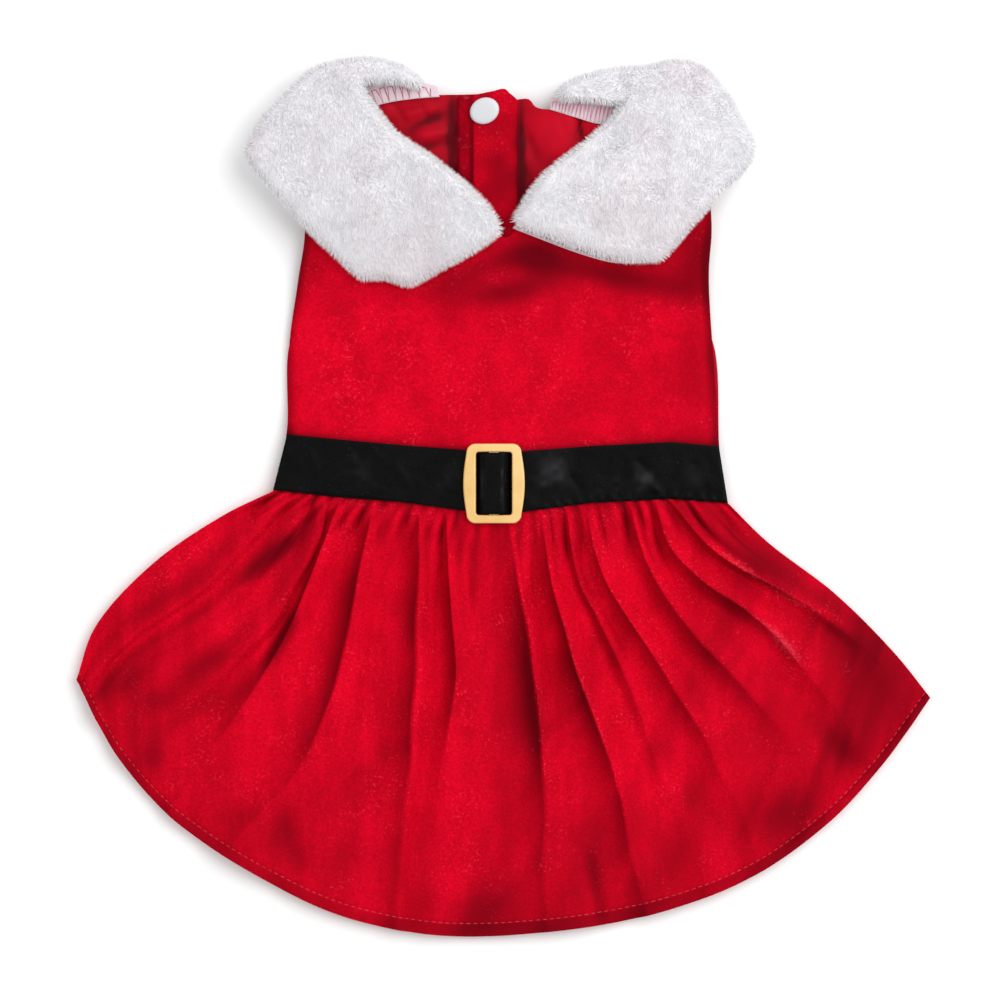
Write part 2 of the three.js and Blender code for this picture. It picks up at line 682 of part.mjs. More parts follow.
function backHalf(neck, outerSide, isLeft) {
  const lap = isLeft ? LAP_RIGHT : LAP_LEFT;
  const middle = bodiceFoot.filter(({ x }) => (isLeft ? x < lap - LAP_CLEAR : x > lap + LAP_CLEAR));
  const lapFoot = { x: lap, y: columnAt(bodiceFoot, lap, "y") };
  const lapTop = isLeft ? neck[neck.length - 1] : neck[0];
  const lapSide = [lapFoot, { x: lap, y: (lapFoot.y + lapTop.y) / 2 }, lapTop];
  const place = isLeft
    ? panelBetween([...middle, lapFoot], neck, outerSide, lapSide)
    : panelBetween([lapFoot, ...middle], neck, lapSide, outerSide);
  const lowAt = (x, y) => liftBehind(x, y) + (isLeft ? lapSelfLift(x) : 0);
  return clothFrom(place, evenly(STEPS.halfAcross), BODICE_ROWS, lowAt);
}

function placket() {
  const across = evenly(PLACKET_TOP.length - 1);
  const place = (u, v) => {
    const { x, y } = PLACKET_TOP[Math.round(u * (PLACKET_TOP.length - 1))];
    return { x, y: lerp(PLACKET_FOOT, y, v) };
  };
  const lowAt = (x, y) => liftBehind(x, y) + lapSelfLift(x) + LAYER;
  return clothFrom(place, across, evenly(STEPS.placketDown), lowAt);
}

// Ribbon of the belt. In front it rises over the buckle's hidden bar.
const RIBBON_STATIONS = {
  ends: [1, 0.9, 0.8, 0.7, 0.6, 0.5, 0.4],
  middle: [-27, -18, -13, -10.6, -8.6, -6.6, -3.8, -1, 1, 3, 5.4, 10.4, 19],
};
function beltAcross() {
  const { left, right } = BELT_SPAN;
  const { ends, middle } = RIBBON_STATIONS;
  const leftPart = ends.map((share) => share * left);
  const rightPart = ends.map((share) => share * right).reverse();
  return [...leftPart, ...middle, ...rightPart].map((x) => (x - left) / (right - left));
}
function beltPlace(u, v) {
  const left = lerp(BELT_FOOT_ENDS.left, BELT_TOP_ENDS.left, v);
  const right = lerp(BELT_FOOT_ENDS.right, BELT_TOP_ENDS.right, v);
  const x = lerp(left, right, u);
  return { x, y: lerp(beltEdge(x, "foot"), beltEdge(x, "top"), v) };
}
const beltFrontLow = (x) => BELT_LIFT + 2 * LAYER + lapLift(x);
const barTop = beltFrontLow(BUCKLE_CENTRE.x) + RIBBON_WALL + SEAM_GAP + BUCKLE_BAR.thick + SEAM_GAP;
function ribbonLow(x) {
  const flat = beltFrontLow(x);
  const reach = Math.abs(x - BUCKLE_CENTRE.x);
  const onBar = BUCKLE_BAR.half + BUCKLE_BAR.ribbonClear;
  return lerp(barTop, flat, smoothstep(reach, onBar, BUCKLE_OPENING.half));
}

function buckleShape() {
  const { corner, middle, height } = BUCKLE_HALF;
  const shape = new THREE.Shape();
  const slant = (middle - corner) * (BUCKLE_ROUND / height);
  shape.moveTo(-corner + BUCKLE_ROUND, -height);
  shape.lineTo(corner - BUCKLE_ROUND, -height);
  shape.quadraticCurveTo(corner, -height, corner + slant, -height + BUCKLE_ROUND);
  shape.quadraticCurveTo(middle, 0, corner + slant, height - BUCKLE_ROUND);
  shape.quadraticCurveTo(corner, height, corner - BUCKLE_ROUND, height);
  shape.lineTo(-corner + BUCKLE_ROUND, height);
  shape.quadraticCurveTo(-corner, height, -corner - slant, height - BUCKLE_ROUND);
  shape.quadraticCurveTo(-middle, 0, -corner - slant, -height + BUCKLE_ROUND);
  shape.quadraticCurveTo(-corner, -height, -corner + BUCKLE_ROUND, -height);
  const { half, height: high, round } = BUCKLE_OPENING;
  const hole = new THREE.Path();
  hole.moveTo(-half + round, -high);
  hole.quadraticCurveTo(-half, -high, -half, -high + round);
  hole.lineTo(-half, high - round);
  hole.quadraticCurveTo(-half, high, -half + round, high);
  hole.lineTo(half - round, high);
  hole.quadraticCurveTo(half, high, half, high - round);
  hole.lineTo(half, -high + round);
  hole.quadraticCurveTo(half, -high, half - round, -high);
  hole.lineTo(-half + round, -high);
  shape.holes.push(hole);
  return shape;
}

const wasm = await Module();
wasm.setup();
function asSolid(geometry) {
  const bare = geometry.index ? geometry.toNonIndexed() : geometry.clone();
  bare.deleteAttribute("normal");
  bare.deleteAttribute("uv");
  const merged = mergeVertices(bare, JOIN_WITHIN);
  const vertProperties = merged.attributes.position.array;
  const triVerts = new Uint32Array(merged.index.array);
  return new wasm.Manifold(new wasm.Mesh({ numProp: 3, vertProperties, triVerts }));
}
function joined(geometries) {
  const mesh = geometries.map(asSolid).reduce((whole, piece) => whole.add(piece)).getMesh();
  const geometry = new THREE.BufferGeometry();
  geometry.setAttribute("position", new THREE.Float32BufferAttribute(mesh.vertProperties, 3));
  geometry.setIndex(Array.from(mesh.triVerts));
  return geometry;
}

function buckle() {
  const low = beltFrontLow(BUCKLE_CENTRE.x) + RIBBON_WALL + SEAM_GAP;
  const depth = BUCKLE_THICK - 2 * BUCKLE_BEVEL;
  const frame = new THREE.ExtrudeGeometry(buckleShape(), {
    depth,
    curveSegments: BUCKLE_CURVE_STEPS,
    bevelThickness: BUCKLE_BEVEL,
    bevelSize: BUCKLE_BEVEL,
    bevelOffset: -BUCKLE_BEVEL,
    bevelSegments: 1,
  });
  frame.translate(BUCKLE_CENTRE.x, BUCKLE_CENTRE.y, low + BUCKLE_BEVEL);
  const { half, thick, intoFrame } = BUCKLE_BAR;
  const bar = new THREE.BoxGeometry(2 * half, 2 * (BUCKLE_OPENING.height + intoFrame), thick);
  bar.translate(BUCKLE_CENTRE.x, BUCKLE_CENTRE.y, low + thick / 2);
  return joined([frame, bar]);
}

// Half thickness shares of a cap, from rim to crown.
const CAP_PROFILE = [
  { radius: 1.0, height: 0.0 },
  { radius: 1.0, height: 0.45 },
  { radius: 0.9, height: 0.85 },
  { radius: SNAP_FACE_SHARE, height: 1.0 },
];
function snapCap(low, turned) {
  const points = CAP_PROFILE.map(
    ({ radius, height }) => new THREE.Vector2(radius * SNAP.radius, height * SNAP.thick),
  );
  const outline = [new THREE.Vector2(0, 0), ...points, new THREE.Vector2(0, SNAP.thick)];
  const cap = new THREE.LatheGeometry(outline, SNAP_SIDES);
  cap.rotateX(turned ? -Math.PI / 2 : Math.PI / 2);
  cap.translate(SNAP.x, SNAP.y, turned ? low + SNAP.thick : low);
  return joined([cap]);
}

// One side of the collar.
function lapelSolid(collar) {
  const place = panelBetween(collar.fold, collar.lower, ...collar.sides);
  const rows = LAPEL_STATIONS.map((v) =>
    LAPEL_STATIONS.map((u) => {
      const { x, y } = place(u, v);
      const inside = Math.min(LAPEL_SIZE.across * Math.min(u, 1 - u), LAPEL_SIZE.down * Math.min(v, 1 - v));
      const full = Math.sin((Math.PI / 2) * clamp(inside / FUR_EDGE_ROUND, 0, 1));
      const lump = FUR_LUMP * full * Math.sin(x / FUR_LUMP_LENGTH.x) * Math.cos(y / FUR_LUMP_LENGTH.y);
      const rest = frontLow(x, y) + CLOTH_WALL + FUR_GAP;
      const low = rest + FUR_DEPTH * FUR_UNDERCUT * FUR_EDGE_SHARE * (1 - full);
      return { x, y, low, high: rest + FUR_DEPTH * lerp(FUR_EDGE_SHARE, 1, full) + lump };
    }),
  );
  return solidFromRows(rows);
}
function rimSolid(collar) {
  const place = stripBetween(collar.rim, collar.rimInside);
  const rows = RIM_SECTION.map(({ share, low, high }) =>
    evenly(STEPS.rimAlong).map((u) => {
      const { x, y } = place(u, share);
      const tuck = Math.sin((Math.PI / 2) * clamp(RIM_TUCK * Math.min(u, 1 - u), 0, 1));
      return { x, y, low, high: lerp(FLAP_LIFT + LAYER + FUR_DEPTH * FUR_EDGE_SHARE, high, tuck) };
    }),
  );
  return solidFromRows(rows);
}
// The part behind, flat on the table, rounded towards its edges.
function flapSolid(collar) {
  const place = stripBetween(collar.flap, collar.flapFoot);
  const rows = FLAP_STATIONS.down.map((v) =>
    FLAP_STATIONS.across.map((u) => {
      const { x, y } = place(u, v);
      const isEdge = u === 0 || u === 1 || v === 0 || v === 1;
      const round = isEdge ? FLAP_ROUND : 0;
      return { x, y, low: round, high: FLAP_DEPTH - round };
    }),
  );
  return solidFromRows(rows);
}
function allowanceSolid(collar) {
  const place = stripBetween(collar.allowance, collar.allowanceFoot);
  const steps = [evenly(STEPS.allowanceAlong), evenly(STEPS.allowanceDown)];
  return clothFrom(place, ...steps, (x, y) => liftBehind(x, y) + LAYER);
}
function collarSide(collar) {
  return joined([lapelSolid(collar), rimSolid(collar), flapSolid(collar), allowanceSolid(collar)]);
}

const MATERIALS = {
  velvet: { color: 0xd80a26, roughness: 0.85, metalness: 0 },
  velvetInside: { color: 0xa30d25, roughness: 0.55, metalness: 0 },
  satin: { color: 0x121214, roughness: 0.32, metalness: 0 },
  fur: { color: 0xf2f1f4, roughness: 0.95, metalness: 0 },
  gold: { color: 0xdcb878, roughness: 0.4, metalness: 0 },
  cap: { color: 0xf6f5f2, roughness: 0.25, metalness: 0 },
};

const costume = new THREE.Group();
costume.name = "pet_santa_costume";
function addPiece(name, geometry, material) {
  const mesh = new THREE.Mesh(geometry, new THREE.MeshStandardMaterial(MATERIALS[material]));
  mesh.name = name;
  costume.add(mesh);
}

const leftCollar = { ...COLLAR_LEFT, sides: [COLLAR_LEFT.outer, COLLAR_LEFT.inner] };
const rightCollar = { ...COLLAR_RIGHT, sides: [COLLAR_RIGHT.inner, COLLAR_RIGHT.outer] };
const onPlacket = (x, y) => liftBehind(x, y) + 3 * LAYER + SEAM_GAP;

addPiece("skirt_front", skirtFront(), "velvet");
addPiece("skirt_back", skirtBack(), "velvet");
addPiece("bodice_front", bodiceFront(), "velvet");
addPiece("back_left", backHalf(BACK_NECK_LEFT, BACK_LEFT_SIDE, true), "velvetInside");
addPiece("back_right", backHalf(BACK_NECK_RIGHT, BACK_RIGHT_SIDE, false), "velvetInside");
addPiece("placket", placket(), "velvet");
addPiece("snap_cap", snapCap(onPlacket(SNAP.x, SNAP.y), false), "cap");
addPiece("snap_cap_outer", snapCap(liftBehind(SNAP.x, SNAP.y) - SEAM_GAP - SNAP.thick, true), "cap");
const frontSteps = [beltAcross(), evenly(STEPS.beltFrontDown)];
const backSteps = [evenly(STEPS.beltBackAcross), evenly(STEPS.beltBackDown)];
addPiece("belt_front", clothFrom(beltPlace, ...frontSteps, ribbonLow, RIBBON_WALL), "satin");
addPiece("belt_back", clothFrom(beltPlace, ...backSteps, () => 0, RIBBON_WALL), "satin");
addPiece("buckle", buckle(), "gold");
addPiece("collar_left", collarSide(leftCollar), "fur");
addPiece("collar_right", collarSide(rightCollar), "fur");

export default costume;
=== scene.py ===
"""Looks of the pet santa costume, laid flat and seen from straight above."""

import math

import bpy
import numpy as np
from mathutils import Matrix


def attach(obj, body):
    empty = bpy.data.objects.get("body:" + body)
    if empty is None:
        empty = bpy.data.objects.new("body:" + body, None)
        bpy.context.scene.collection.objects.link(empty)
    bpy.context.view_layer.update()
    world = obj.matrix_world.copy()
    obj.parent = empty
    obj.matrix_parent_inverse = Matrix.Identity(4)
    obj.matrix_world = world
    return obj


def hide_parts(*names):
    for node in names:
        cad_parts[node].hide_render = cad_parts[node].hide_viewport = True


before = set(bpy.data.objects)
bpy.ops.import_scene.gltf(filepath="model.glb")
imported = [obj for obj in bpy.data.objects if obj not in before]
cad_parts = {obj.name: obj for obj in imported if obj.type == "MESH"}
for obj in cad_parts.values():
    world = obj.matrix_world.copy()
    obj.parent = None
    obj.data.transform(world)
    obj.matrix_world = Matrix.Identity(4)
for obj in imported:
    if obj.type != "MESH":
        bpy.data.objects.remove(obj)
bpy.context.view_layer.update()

MM = 0.001

# Thickness of each material and the space between pieces, in millimetres, as in the part.
CLOTH_WALL = 1.4
RIBBON_WALL = 1.0
SEAM_GAP = 0.3
FUR_GAP = 0.6
LAYER = CLOTH_WALL + SEAM_GAP
BELT_LIFT = RIBBON_WALL + SEAM_GAP
FLAP_DEPTH = 6.0
FLAP_LIFT = FLAP_DEPTH + SEAM_GAP
FUR_DEPTH = 8.0
NECK_SAG, NECK_SAG_SPAN = 0.45, (-34, -14, 8, 27)
SEAM_ABOVE_BELT_EDGE = 8.0
LAP_LEFT, LAP_RIGHT, LAP_SLOPE = -11.4, 6.4, 24.0
LAP_STEP_FROM, LAP_STEP_FULL = 12, 1
PLACKET_FOOT, PLACKET_RAMP_FROM, PLACKET_RAMP_FULL = 84.0, 22, 2
PLACKET_TOP = ((-18.2, 160.4), (-13.4, 160.8), (-5.0, 162.4), (0.6, 163.4), (3.0, 161.0), (6.0, 158.4))
BELT_RAMP = 14.0
FLAP_RAMP_FROM, FLAP_RAMP_FULL = 72.0, 124.0
SHOULDER_EASE, EASE_FROM, EASE_FULL = 0.3, 55.0, 80.0

# Belt, in sections across the garment: x, upper edge, lower edge.
BELT_SECTIONS = {
    "x": (-92, -67, -41, -15, -10.8, 3.2, 9, 35, 67, 90),
    "top": (26.0, 23.6, 21.2, 19.2, 18.1, 18.1, 18.8, 20.8, 22.4, 20.4),
    "foot": (3.2, 0.4, -1.6, -5.2, -6.5, -6.5, -5.4, -2.0, -0.4, -2.0),
}
BELT_TOP_ENDS = (-86.6, 86.2)
BELT_FOOT_ENDS = (-92.2, 89.8)

# Outline of the skirt, as points x, y.
SKIRT_WAIST = (
    (-92.2, 2.8),
    (-60.4, -0.4),
    (-28.6, -3.6),
    (-1.2, -5.6),
    (20.6, -3.4),
    (42.5, -2.4),
    (67.8, 0.0),
    (89.8, -2.0),
)
SKIRT_LEFT = ((-92.2, 2.8), (-112.1, -6.9), (-140.4, -26.3), (-163.4, -51.6), (-171.0, -72.8))
SKIRT_RIGHT = ((89.8, -2.0), (105.9, -17.7), (132.8, -38.3), (156.9, -62.4), (171.0, -80.0))
SKIRT_HEM = (
    (-171.0, -72.8),
    (-155.3, -102.3),
    (-133.7, -127.4),
    (-102.7, -148.8),
    (-65.4, -167.1),
    (-24.4, -175.2),
    (17.3, -173.7),
    (58.5, -166.9),
    (97.7, -152.6),
    (128.5, -131.4),
    (151.4, -107.1),
    (171.0, -80.0),
)

# One row per fold: the line of its crest as shares of the width at the stations down the skirt, the
# height of the crest at the upper and lower third and the hem, how far before the crest the cloth
# starts to rise, the small ruffles at the waist up to the next crest, how crisp the crest is and how
# dark the painted shade lies before it.
SKIRT_FOLDS = (
    ((0.0, 0.0, 0.0, 0.0, 0.0), (2.0, 2.0, 1.5), 0, 1, 0.0, 0.0),
    ((0.03, 0.062, 0.075, 0.042, 0.014), (2.4, 2.6, 1.4), 14, 1, 0.0, 0.25),
    ((0.078, 0.112, 0.118, 0.072, 0.038), (3.2, 3.2, 1.6), 14, 1, 0.1, 0.36),
    ((0.115, 0.172, 0.186, 0.142, 0.085), (3.0, 3.2, 1.4), 16, 1, 0.1, 0.42),
    ((0.151, 0.187, 0.215, 0.2, 0.16), (6.0, 4.0, 1.6), 11, 2, 0.7, 0.9),
    ((0.227, 0.263, 0.3, 0.292, 0.224), (7.5, 5.2, 1.2), 14, 2, 0.9, 1.0),
    ((0.322, 0.367, 0.4, 0.412, 0.408), (8.0, 6.4, 2.2), 17, 2, 1.0, 0.78),
    ((0.383, 0.419, 0.455, 0.446, 0.433), (5.5, 1.6, 0.6), 7, 3, 0.8, 0.7),
    ((0.516, 0.543, 0.564, 0.565, 0.551), (8.0, 6.8, 2.6), 16, 2, 1.0, 0.82),
    ((0.59, 0.601, 0.622, 0.647, 0.647), (7.5, 6.6, 2.6), 12, 2, 1.0, 0.78),
    ((0.646, 0.647, 0.678, 0.698, 0.71), (3.2, 1.2, 0.6), 5, 1, 0.5, 0.5),
    ((0.688, 0.692, 0.727, 0.76, 0.77), (7.0, 4.0, 1.0), 11, 2, 0.9, 0.64),
    ((0.784, 0.776, 0.8, 0.838, 0.862), (6.5, 2.4, 0.8), 10, 2, 0.7, 0.6),
    ((0.838, 0.829, 0.885, 0.905, 0.915), (7.0, 3.2, 1.0), 9, 1, 0.7, 0.6),
    ((0.872, 0.892, 0.95, 0.974, 0.974), (3.6, 0.8, 0.4), 5, 3, 0.3, 0.62),
    ((1.0, 1.0, 1.0, 1.0, 1.0), (0.0, 0.0, 0.0), 0, 0, 0.0, 0.0),
)
EDGE_STATIONS = (0.0, 0.15, 0.4, 0.7, 1.0)
FOLD_STATIONS = (0.0, 0.3, 0.65, 1.0)
LEAD_FULL_AT = 0.35
LEAD_MOST = 0.66
RISE_BEND, FALL_BEND = 2.3, 0.9
GATHER_HEIGHT = 2.6
WAIST_ACROSS, HEM_ACROSS = 182, 418
BACK_FOLLOWS, BACK_STAYS_FLAT = 0.75, 1.9
SEAM_NARROWER = 0.975
FOLD_LEAN = 0.12
HEM_STITCH = 0.973
HEM_FOLD_EXTRA = 0.5
WAIST_SETTLES, LAP_SETTLES = 0.1, 0.16
# The buckle presses the folds below it flat: how much, between which x, and where down the skirt it ends.
PRESS_DEPTH, PRESS_SPAN, PRESS_ENDS = 0.8, (-26, -17, 9, 18), (0.1, 0.22)
# Place of the waist seam's row, above the belt's lower edge, as a share of the skirt's length.
SEAM_ROW = -0.05

# Outline of the bodice.
BODICE_LEFT = ((-90.0, 11.2), (-86.8, 26.4), (-85.8, 61.6), (-82.2, 87.2), (-79.4, 107.2), (-82.0, 124.0))
BODICE_RIGHT = ((87.4, 6.2), (86.4, 20.4), (84.6, 48.8), (82.2, 89.2), (83.2, 107.2), (82.0, 126.0))
NECK = (
    (-82.0, 124.0),
    (-60.0, 150.0),
    (-47.0, 145.0),
    (-28.0, 130.0),
    (-12.0, 115.5),
    (0.8, 104.0),
    (10.0, 115.0),
    (25.0, 129.0),
    (42.0, 143.0),
    (60.0, 152.0),
    (82.0, 126.0),
)
BACK_LEFT_SIDE = (
    (-90.0, 11.2),
    (-86.8, 26.4),
    (-85.8, 61.6),
    (-78.0, 78.0),
    (-71.0, 96.0),
    (-74.0, 112.0),
    (-82.0, 124.0),
)
BACK_RIGHT_SIDE = (
    (87.4, 6.2),
    (86.4, 20.4),
    (84.6, 60.0),
    (77.0, 78.0),
    (71.0, 96.0),
    (74.0, 113.0),
    (82.0, 126.0),
)
BACK_NECK_LEFT = (
    (-82.0, 124.0),
    (-62.0, 150.0),
    (-52.0, 158.4),
    (-41.4, 160.0),
    (-25.4, 161.2),
    (-9.0, 161.6),
    (0.6, 162.8),
    (LAP_RIGHT, 158.6),
)
BACK_NECK_RIGHT = (
    (LAP_LEFT, 159.0),
    (3.0, 159.2),
    (10.2, 159.6),
    (13.0, 156.4),
    (22.6, 154.8),
    (38.6, 150.4),
    (60.0, 152.0),
    (82.0, 126.0),
)

# Outline of the collar's two sides.
COLLAR = {
    "left": {
        "fold": (
            (-103.8, 139.2),
            (-96.6, 151.2),
            (-87.4, 161.0),
            (-75.4, 171.8),
            (-65.4, 174.4),
            (-53.0, 175.6),
        ),
        "lower": ((-56.6, 86.8), (-43.4, 86.2), (-36.4, 83.4), (-25.4, 88.4), (-9.4, 97.0), (1.0, 104.6)),
        "outer": ((-103.8, 139.2), (-100.4, 131.6), (-89.4, 119.2), (-79.4, 108.0), (-56.6, 86.8)),
        "inner": (
            (-53.0, 175.6),
            (-54.0, 164.0),
            (-49.4, 156.2),
            (-41.4, 146.0),
            (-25.4, 135.4),
            (-9.4, 120.8),
            (1.0, 104.6),
        ),
        "rim": (
            (-103.0, 138.6),
            (-96.6, 151.2),
            (-87.4, 161.0),
            (-75.4, 171.8),
            (-65.4, 174.4),
            (-53.0, 175.8),
            (-45.4, 174.0),
            (-37.4, 170.0),
            (-31.6, 164.0),
        ),
        "rim_inside": (
            (-95.0, 134.6),
            (-88.0, 146.0),
            (-80.0, 155.0),
            (-71.0, 163.0),
            (-63.0, 166.0),
            (-54.0, 166.6),
            (-46.0, 166.8),
            (-41.0, 166.4),
            (-34.6, 164.6),
        ),
        "flap": ((-100.6, 138.6), (-89.0, 157.0), (-74.0, 169.6), (-52.0, 172.0), (-34.0, 163.6)),
        "flap_foot": ((-99.0, 135.0), (-88.0, 127.6), (-64.0, 126.0), (-44.0, 129.6), (-34.0, 143.0)),
        "allowance": ((-56.0, 164.4), (-46.0, 167.2), (-38.0, 167.0), (-26.6, 164.4)),
        "allowance_foot": ((-51.5, 156.6), (-44.6, 158.2), (-37.0, 159.3), (-25.6, 160.3)),
        "overlock": 8,
    },
    "right": {
        "fold": (
            (44.0, 172.2),
            (58.6, 172.8),
            (68.6, 174.8),
            (78.6, 173.0),
            (88.6, 163.2),
            (93.0, 155.0),
            (100.2, 142.4),
        ),
        "lower": ((2.8, 107.6), (14.6, 103.0), (30.6, 97.2), (44.6, 93.6), (62.6, 94.0)),
        "outer": ((100.2, 142.4), (98.6, 133.2), (88.6, 122.8), (78.6, 112.0), (62.6, 94.0)),
        "inner": ((44.0, 172.2), (46.4, 161.0), (42.6, 152.0), (30.6, 141.4), (14.6, 128.2), (2.8, 107.6)),
        "rim": (
            (20.2, 160.6),
            (26.6, 166.0),
            (34.6, 169.4),
            (44.0, 172.2),
            (58.6, 172.8),
            (68.6, 174.8),
            (78.6, 173.0),
            (88.6, 163.2),
            (93.0, 155.0),
            (99.4, 141.8),
        ),
        "rim_inside": (
            (23.0, 159.4),
            (28.6, 159.8),
            (36.0, 159.2),
            (45.0, 158.2),
            (56.0, 161.0),
            (66.0, 165.2),
            (74.0, 163.0),
            (80.6, 156.0),
            (85.0, 149.0),
            (91.0, 138.4),
        ),
        "flap": ((27.0, 163.0), (46.0, 169.0), (68.0, 171.0), (84.0, 162.0), (97.6, 141.0)),
        "flap_foot": ((29.0, 144.0), (38.0, 130.0), (60.0, 126.0), (84.0, 128.6), (97.0, 137.6)),
        "allowance": ((19.2, 160.0), (29.0, 160.6), (39.0, 160.2), (50.0, 158.6)),
        "allowance_foot": ((18.6, 155.2), (27.0, 152.6), (37.0, 149.6), (46.0, 148.4)),
        "overlock": 19,
    },
}
LAPEL_ACROSS, LAPEL_DOWN = 96, 72
FUR_EDGE_ROUND, FUR_EDGE_SHARE = 7.0, 0.35

# Slide buckle and snap.
BUCKLE_X, BUCKLE_Y = -3.8, 5.8
BUCKLE_CORNER, BUCKLE_MIDDLE, BUCKLE_HEIGHT = 11.0, 12.3, 15.9
OPENING_HALF, OPENING_HEIGHT, OPENING_ROUND = 7.2, 12.6, 1.2
BUCKLE_ROUND, BUCKLE_THICK = 3.6, 2.4
BAR_HALF, BAR_THICK = 2.0, 1.6
SNAP_X, SNAP_Y, SNAP_RADIUS, SNAP_THICK = -7.6, 154.6, 6.0, 1.6
SNAP_OVAL, SNAP_TURN = 0.86, math.radians(26)


def lerp(a, b, t):
    return a + (b - a) * t


def smooth(x, start, end):
    t = np.clip((np.asarray(x, float) - start) / (end - start), 0, 1)
    return t * t * (3 - 2 * t)


def plateau(x, start, full, end, gone):
    return smooth(x, start, full) * (1 - smooth(x, end, gone))


def ripple(x, y, size, seed):
    """Smooth uneven field between -1 and 1, with swells of about the given size."""
    lattice = np.random.default_rng(seed).uniform(-1, 1, (97, 97))
    gx, gy = np.asarray(x, float) / size + 48.3, np.asarray(y, float) / size + 48.7
    i, j = np.floor(gx).astype(int), np.floor(gy).astype(int)
    fx, fy = smooth(gx - i, 0, 1), smooth(gy - j, 0, 1)
    near = lerp(lattice[i % 97, j % 97], lattice[(i + 1) % 97, j % 97], fx)
    far = lerp(lattice[i % 97, (j + 1) % 97], lattice[(i + 1) % 97, (j + 1) % 97], fx)
    return lerp(near, far, fy)


def curve_samples(points, per_span=40):
    """Centripetal spline through the points, densely sampled."""
    p = np.array(points, float)
    p = np.vstack([2 * p[0] - p[1], p, 2 * p[-1] - p[-2]])
    out = []
    for k in range(1, len(p) - 2):
        p0, p1, p2, p3 = p[k - 1 : k + 3]
        d0, d1, d2 = (max(np.linalg.norm(b - a) ** 0.5, 1e-4) for a, b in ((p0, p1), (p1, p2), (p2, p3)))
        t1 = ((p1 - p0) / d0 - (p2 - p0) / (d0 + d1) + (p2 - p1) / d1) * d1
        t2 = ((p2 - p1) / d1 - (p3 - p1) / (d1 + d2) + (p3 - p2) / d2) * d1
        s = np.linspace(0, 1, per_span, endpoint=False)[:, None]
        c2, c3 = -3 * p1 + 3 * p2 - 2 * t1 - t2, 2 * p1 - 2 * p2 + t1 + t2
        out.append(p1 + t1 * s + c2 * s**2 + c3 * s**3)
    return np.vstack(out + [p[-2:-1]])


def path_at(points, share, even=True):
    """Points on the spline at shares of its length, or of its spans where even is false."""
    samples = curve_samples(points)
    if even:
        along = np.r_[0, np.cumsum(np.linalg.norm(np.diff(samples, axis=0), axis=1))]
    else:
        along = np.arange(len(samples), dtype=float)
    share = np.clip(share, 0, 1) * along[-1]
    return np.interp(share, along, samples[:, 0]), np.interp(share, along, samples[:, 1])


def panel(near, far, left, right, u, v):
    """Points of a panel between four edges: near and far run left to right, the sides near to far."""
    corners = [np.array(q, float) for q in (near[0], near[-1], far[0], far[-1])]
    n, f, l, r = path_at(near, u), path_at(far, u), path_at(left, v), path_at(right, v)
    out = []
    for k in range(2):
        across = (1 - v) * n[k] + v * f[k] + (1 - u) * l[k] + u * r[k]
        corner = (1 - u) * (1 - v) * corners[0][k] + u * (1 - v) * corners[1][k]
        out.append(across - corner - (1 - u) * v * corners[2][k] - u * v * corners[3][k])
    return out


def strip(near, far, u, v):
    """Points of a strip between two edges that run the same way."""
    n, f = path_at(near, u, even=False), path_at(far, u, even=False)
    return lerp(n[0], f[0], v), lerp(n[1], f[1], v)


def belt_edge(x, edge):
    return np.interp(x, BELT_SECTIONS["x"], BELT_SECTIONS[edge])


def lift_behind(x, y):
    """How far the belt at the waist and the collar's flaps at the neck lift the halves behind."""
    top = belt_edge(x, "top")
    ramp = np.clip((y - top - 1) / (BELT_RAMP - 1), 0, 1)
    belt = BELT_LIFT * (1 - ramp * ramp * (3 - 2 * ramp))
    sag = NECK_SAG * plateau(x, *NECK_SAG_SPAN)
    return belt + FLAP_LIFT * smooth(y, FLAP_RAMP_FROM, FLAP_RAMP_FULL) * (1 - sag)


def lap_lift(x):
    return LAYER * plateau(x, LAP_LEFT - LAP_SLOPE, LAP_LEFT, LAP_RIGHT, LAP_RIGHT + LAP_SLOPE)


def lap_self_lift(x):
    return LAYER * smooth(x, LAP_LEFT - LAP_STEP_FROM, LAP_LEFT - LAP_STEP_FULL)


def front_low(x, y):
    placket = lap_lift(x) * smooth(y, PLACKET_FOOT - PLACKET_RAMP_FROM, PLACKET_FOOT - PLACKET_RAMP_FULL)
    ease = SHOULDER_EASE * smooth(y, EASE_FROM, EASE_FULL)
    return lift_behind(x, y) + LAYER + ease + lap_lift(x) + placket


def belt_front_low(x):
    return BELT_LIFT + 2 * LAYER + lap_lift(x)


class Socket:
    """A value in a material's tree. Arithmetic on it adds the nodes that work it out."""

    def __init__(self, finish, socket):
        self.finish, self.socket = finish, socket

    def math(self, operation, first, second):
        return self.finish.node("ShaderNodeMath", {"operation": operation}, {0: first, 1: second})

    def __add__(self, other):
        return self.math("ADD", self, other)

    def __radd__(self, other):
        return self.math("ADD", other, self)

    def __sub__(self, other):
        return self.math("SUBTRACT", self, other)

    def __rsub__(self, other):
        return self.math("SUBTRACT", other, self)

    def __mul__(self, other):
        return self.math("MULTIPLY", self, other)

    def __rmul__(self, other):
        return self.math("MULTIPLY", other, self)

    def __pow__(self, other):
        return self.math("POWER", self, other)


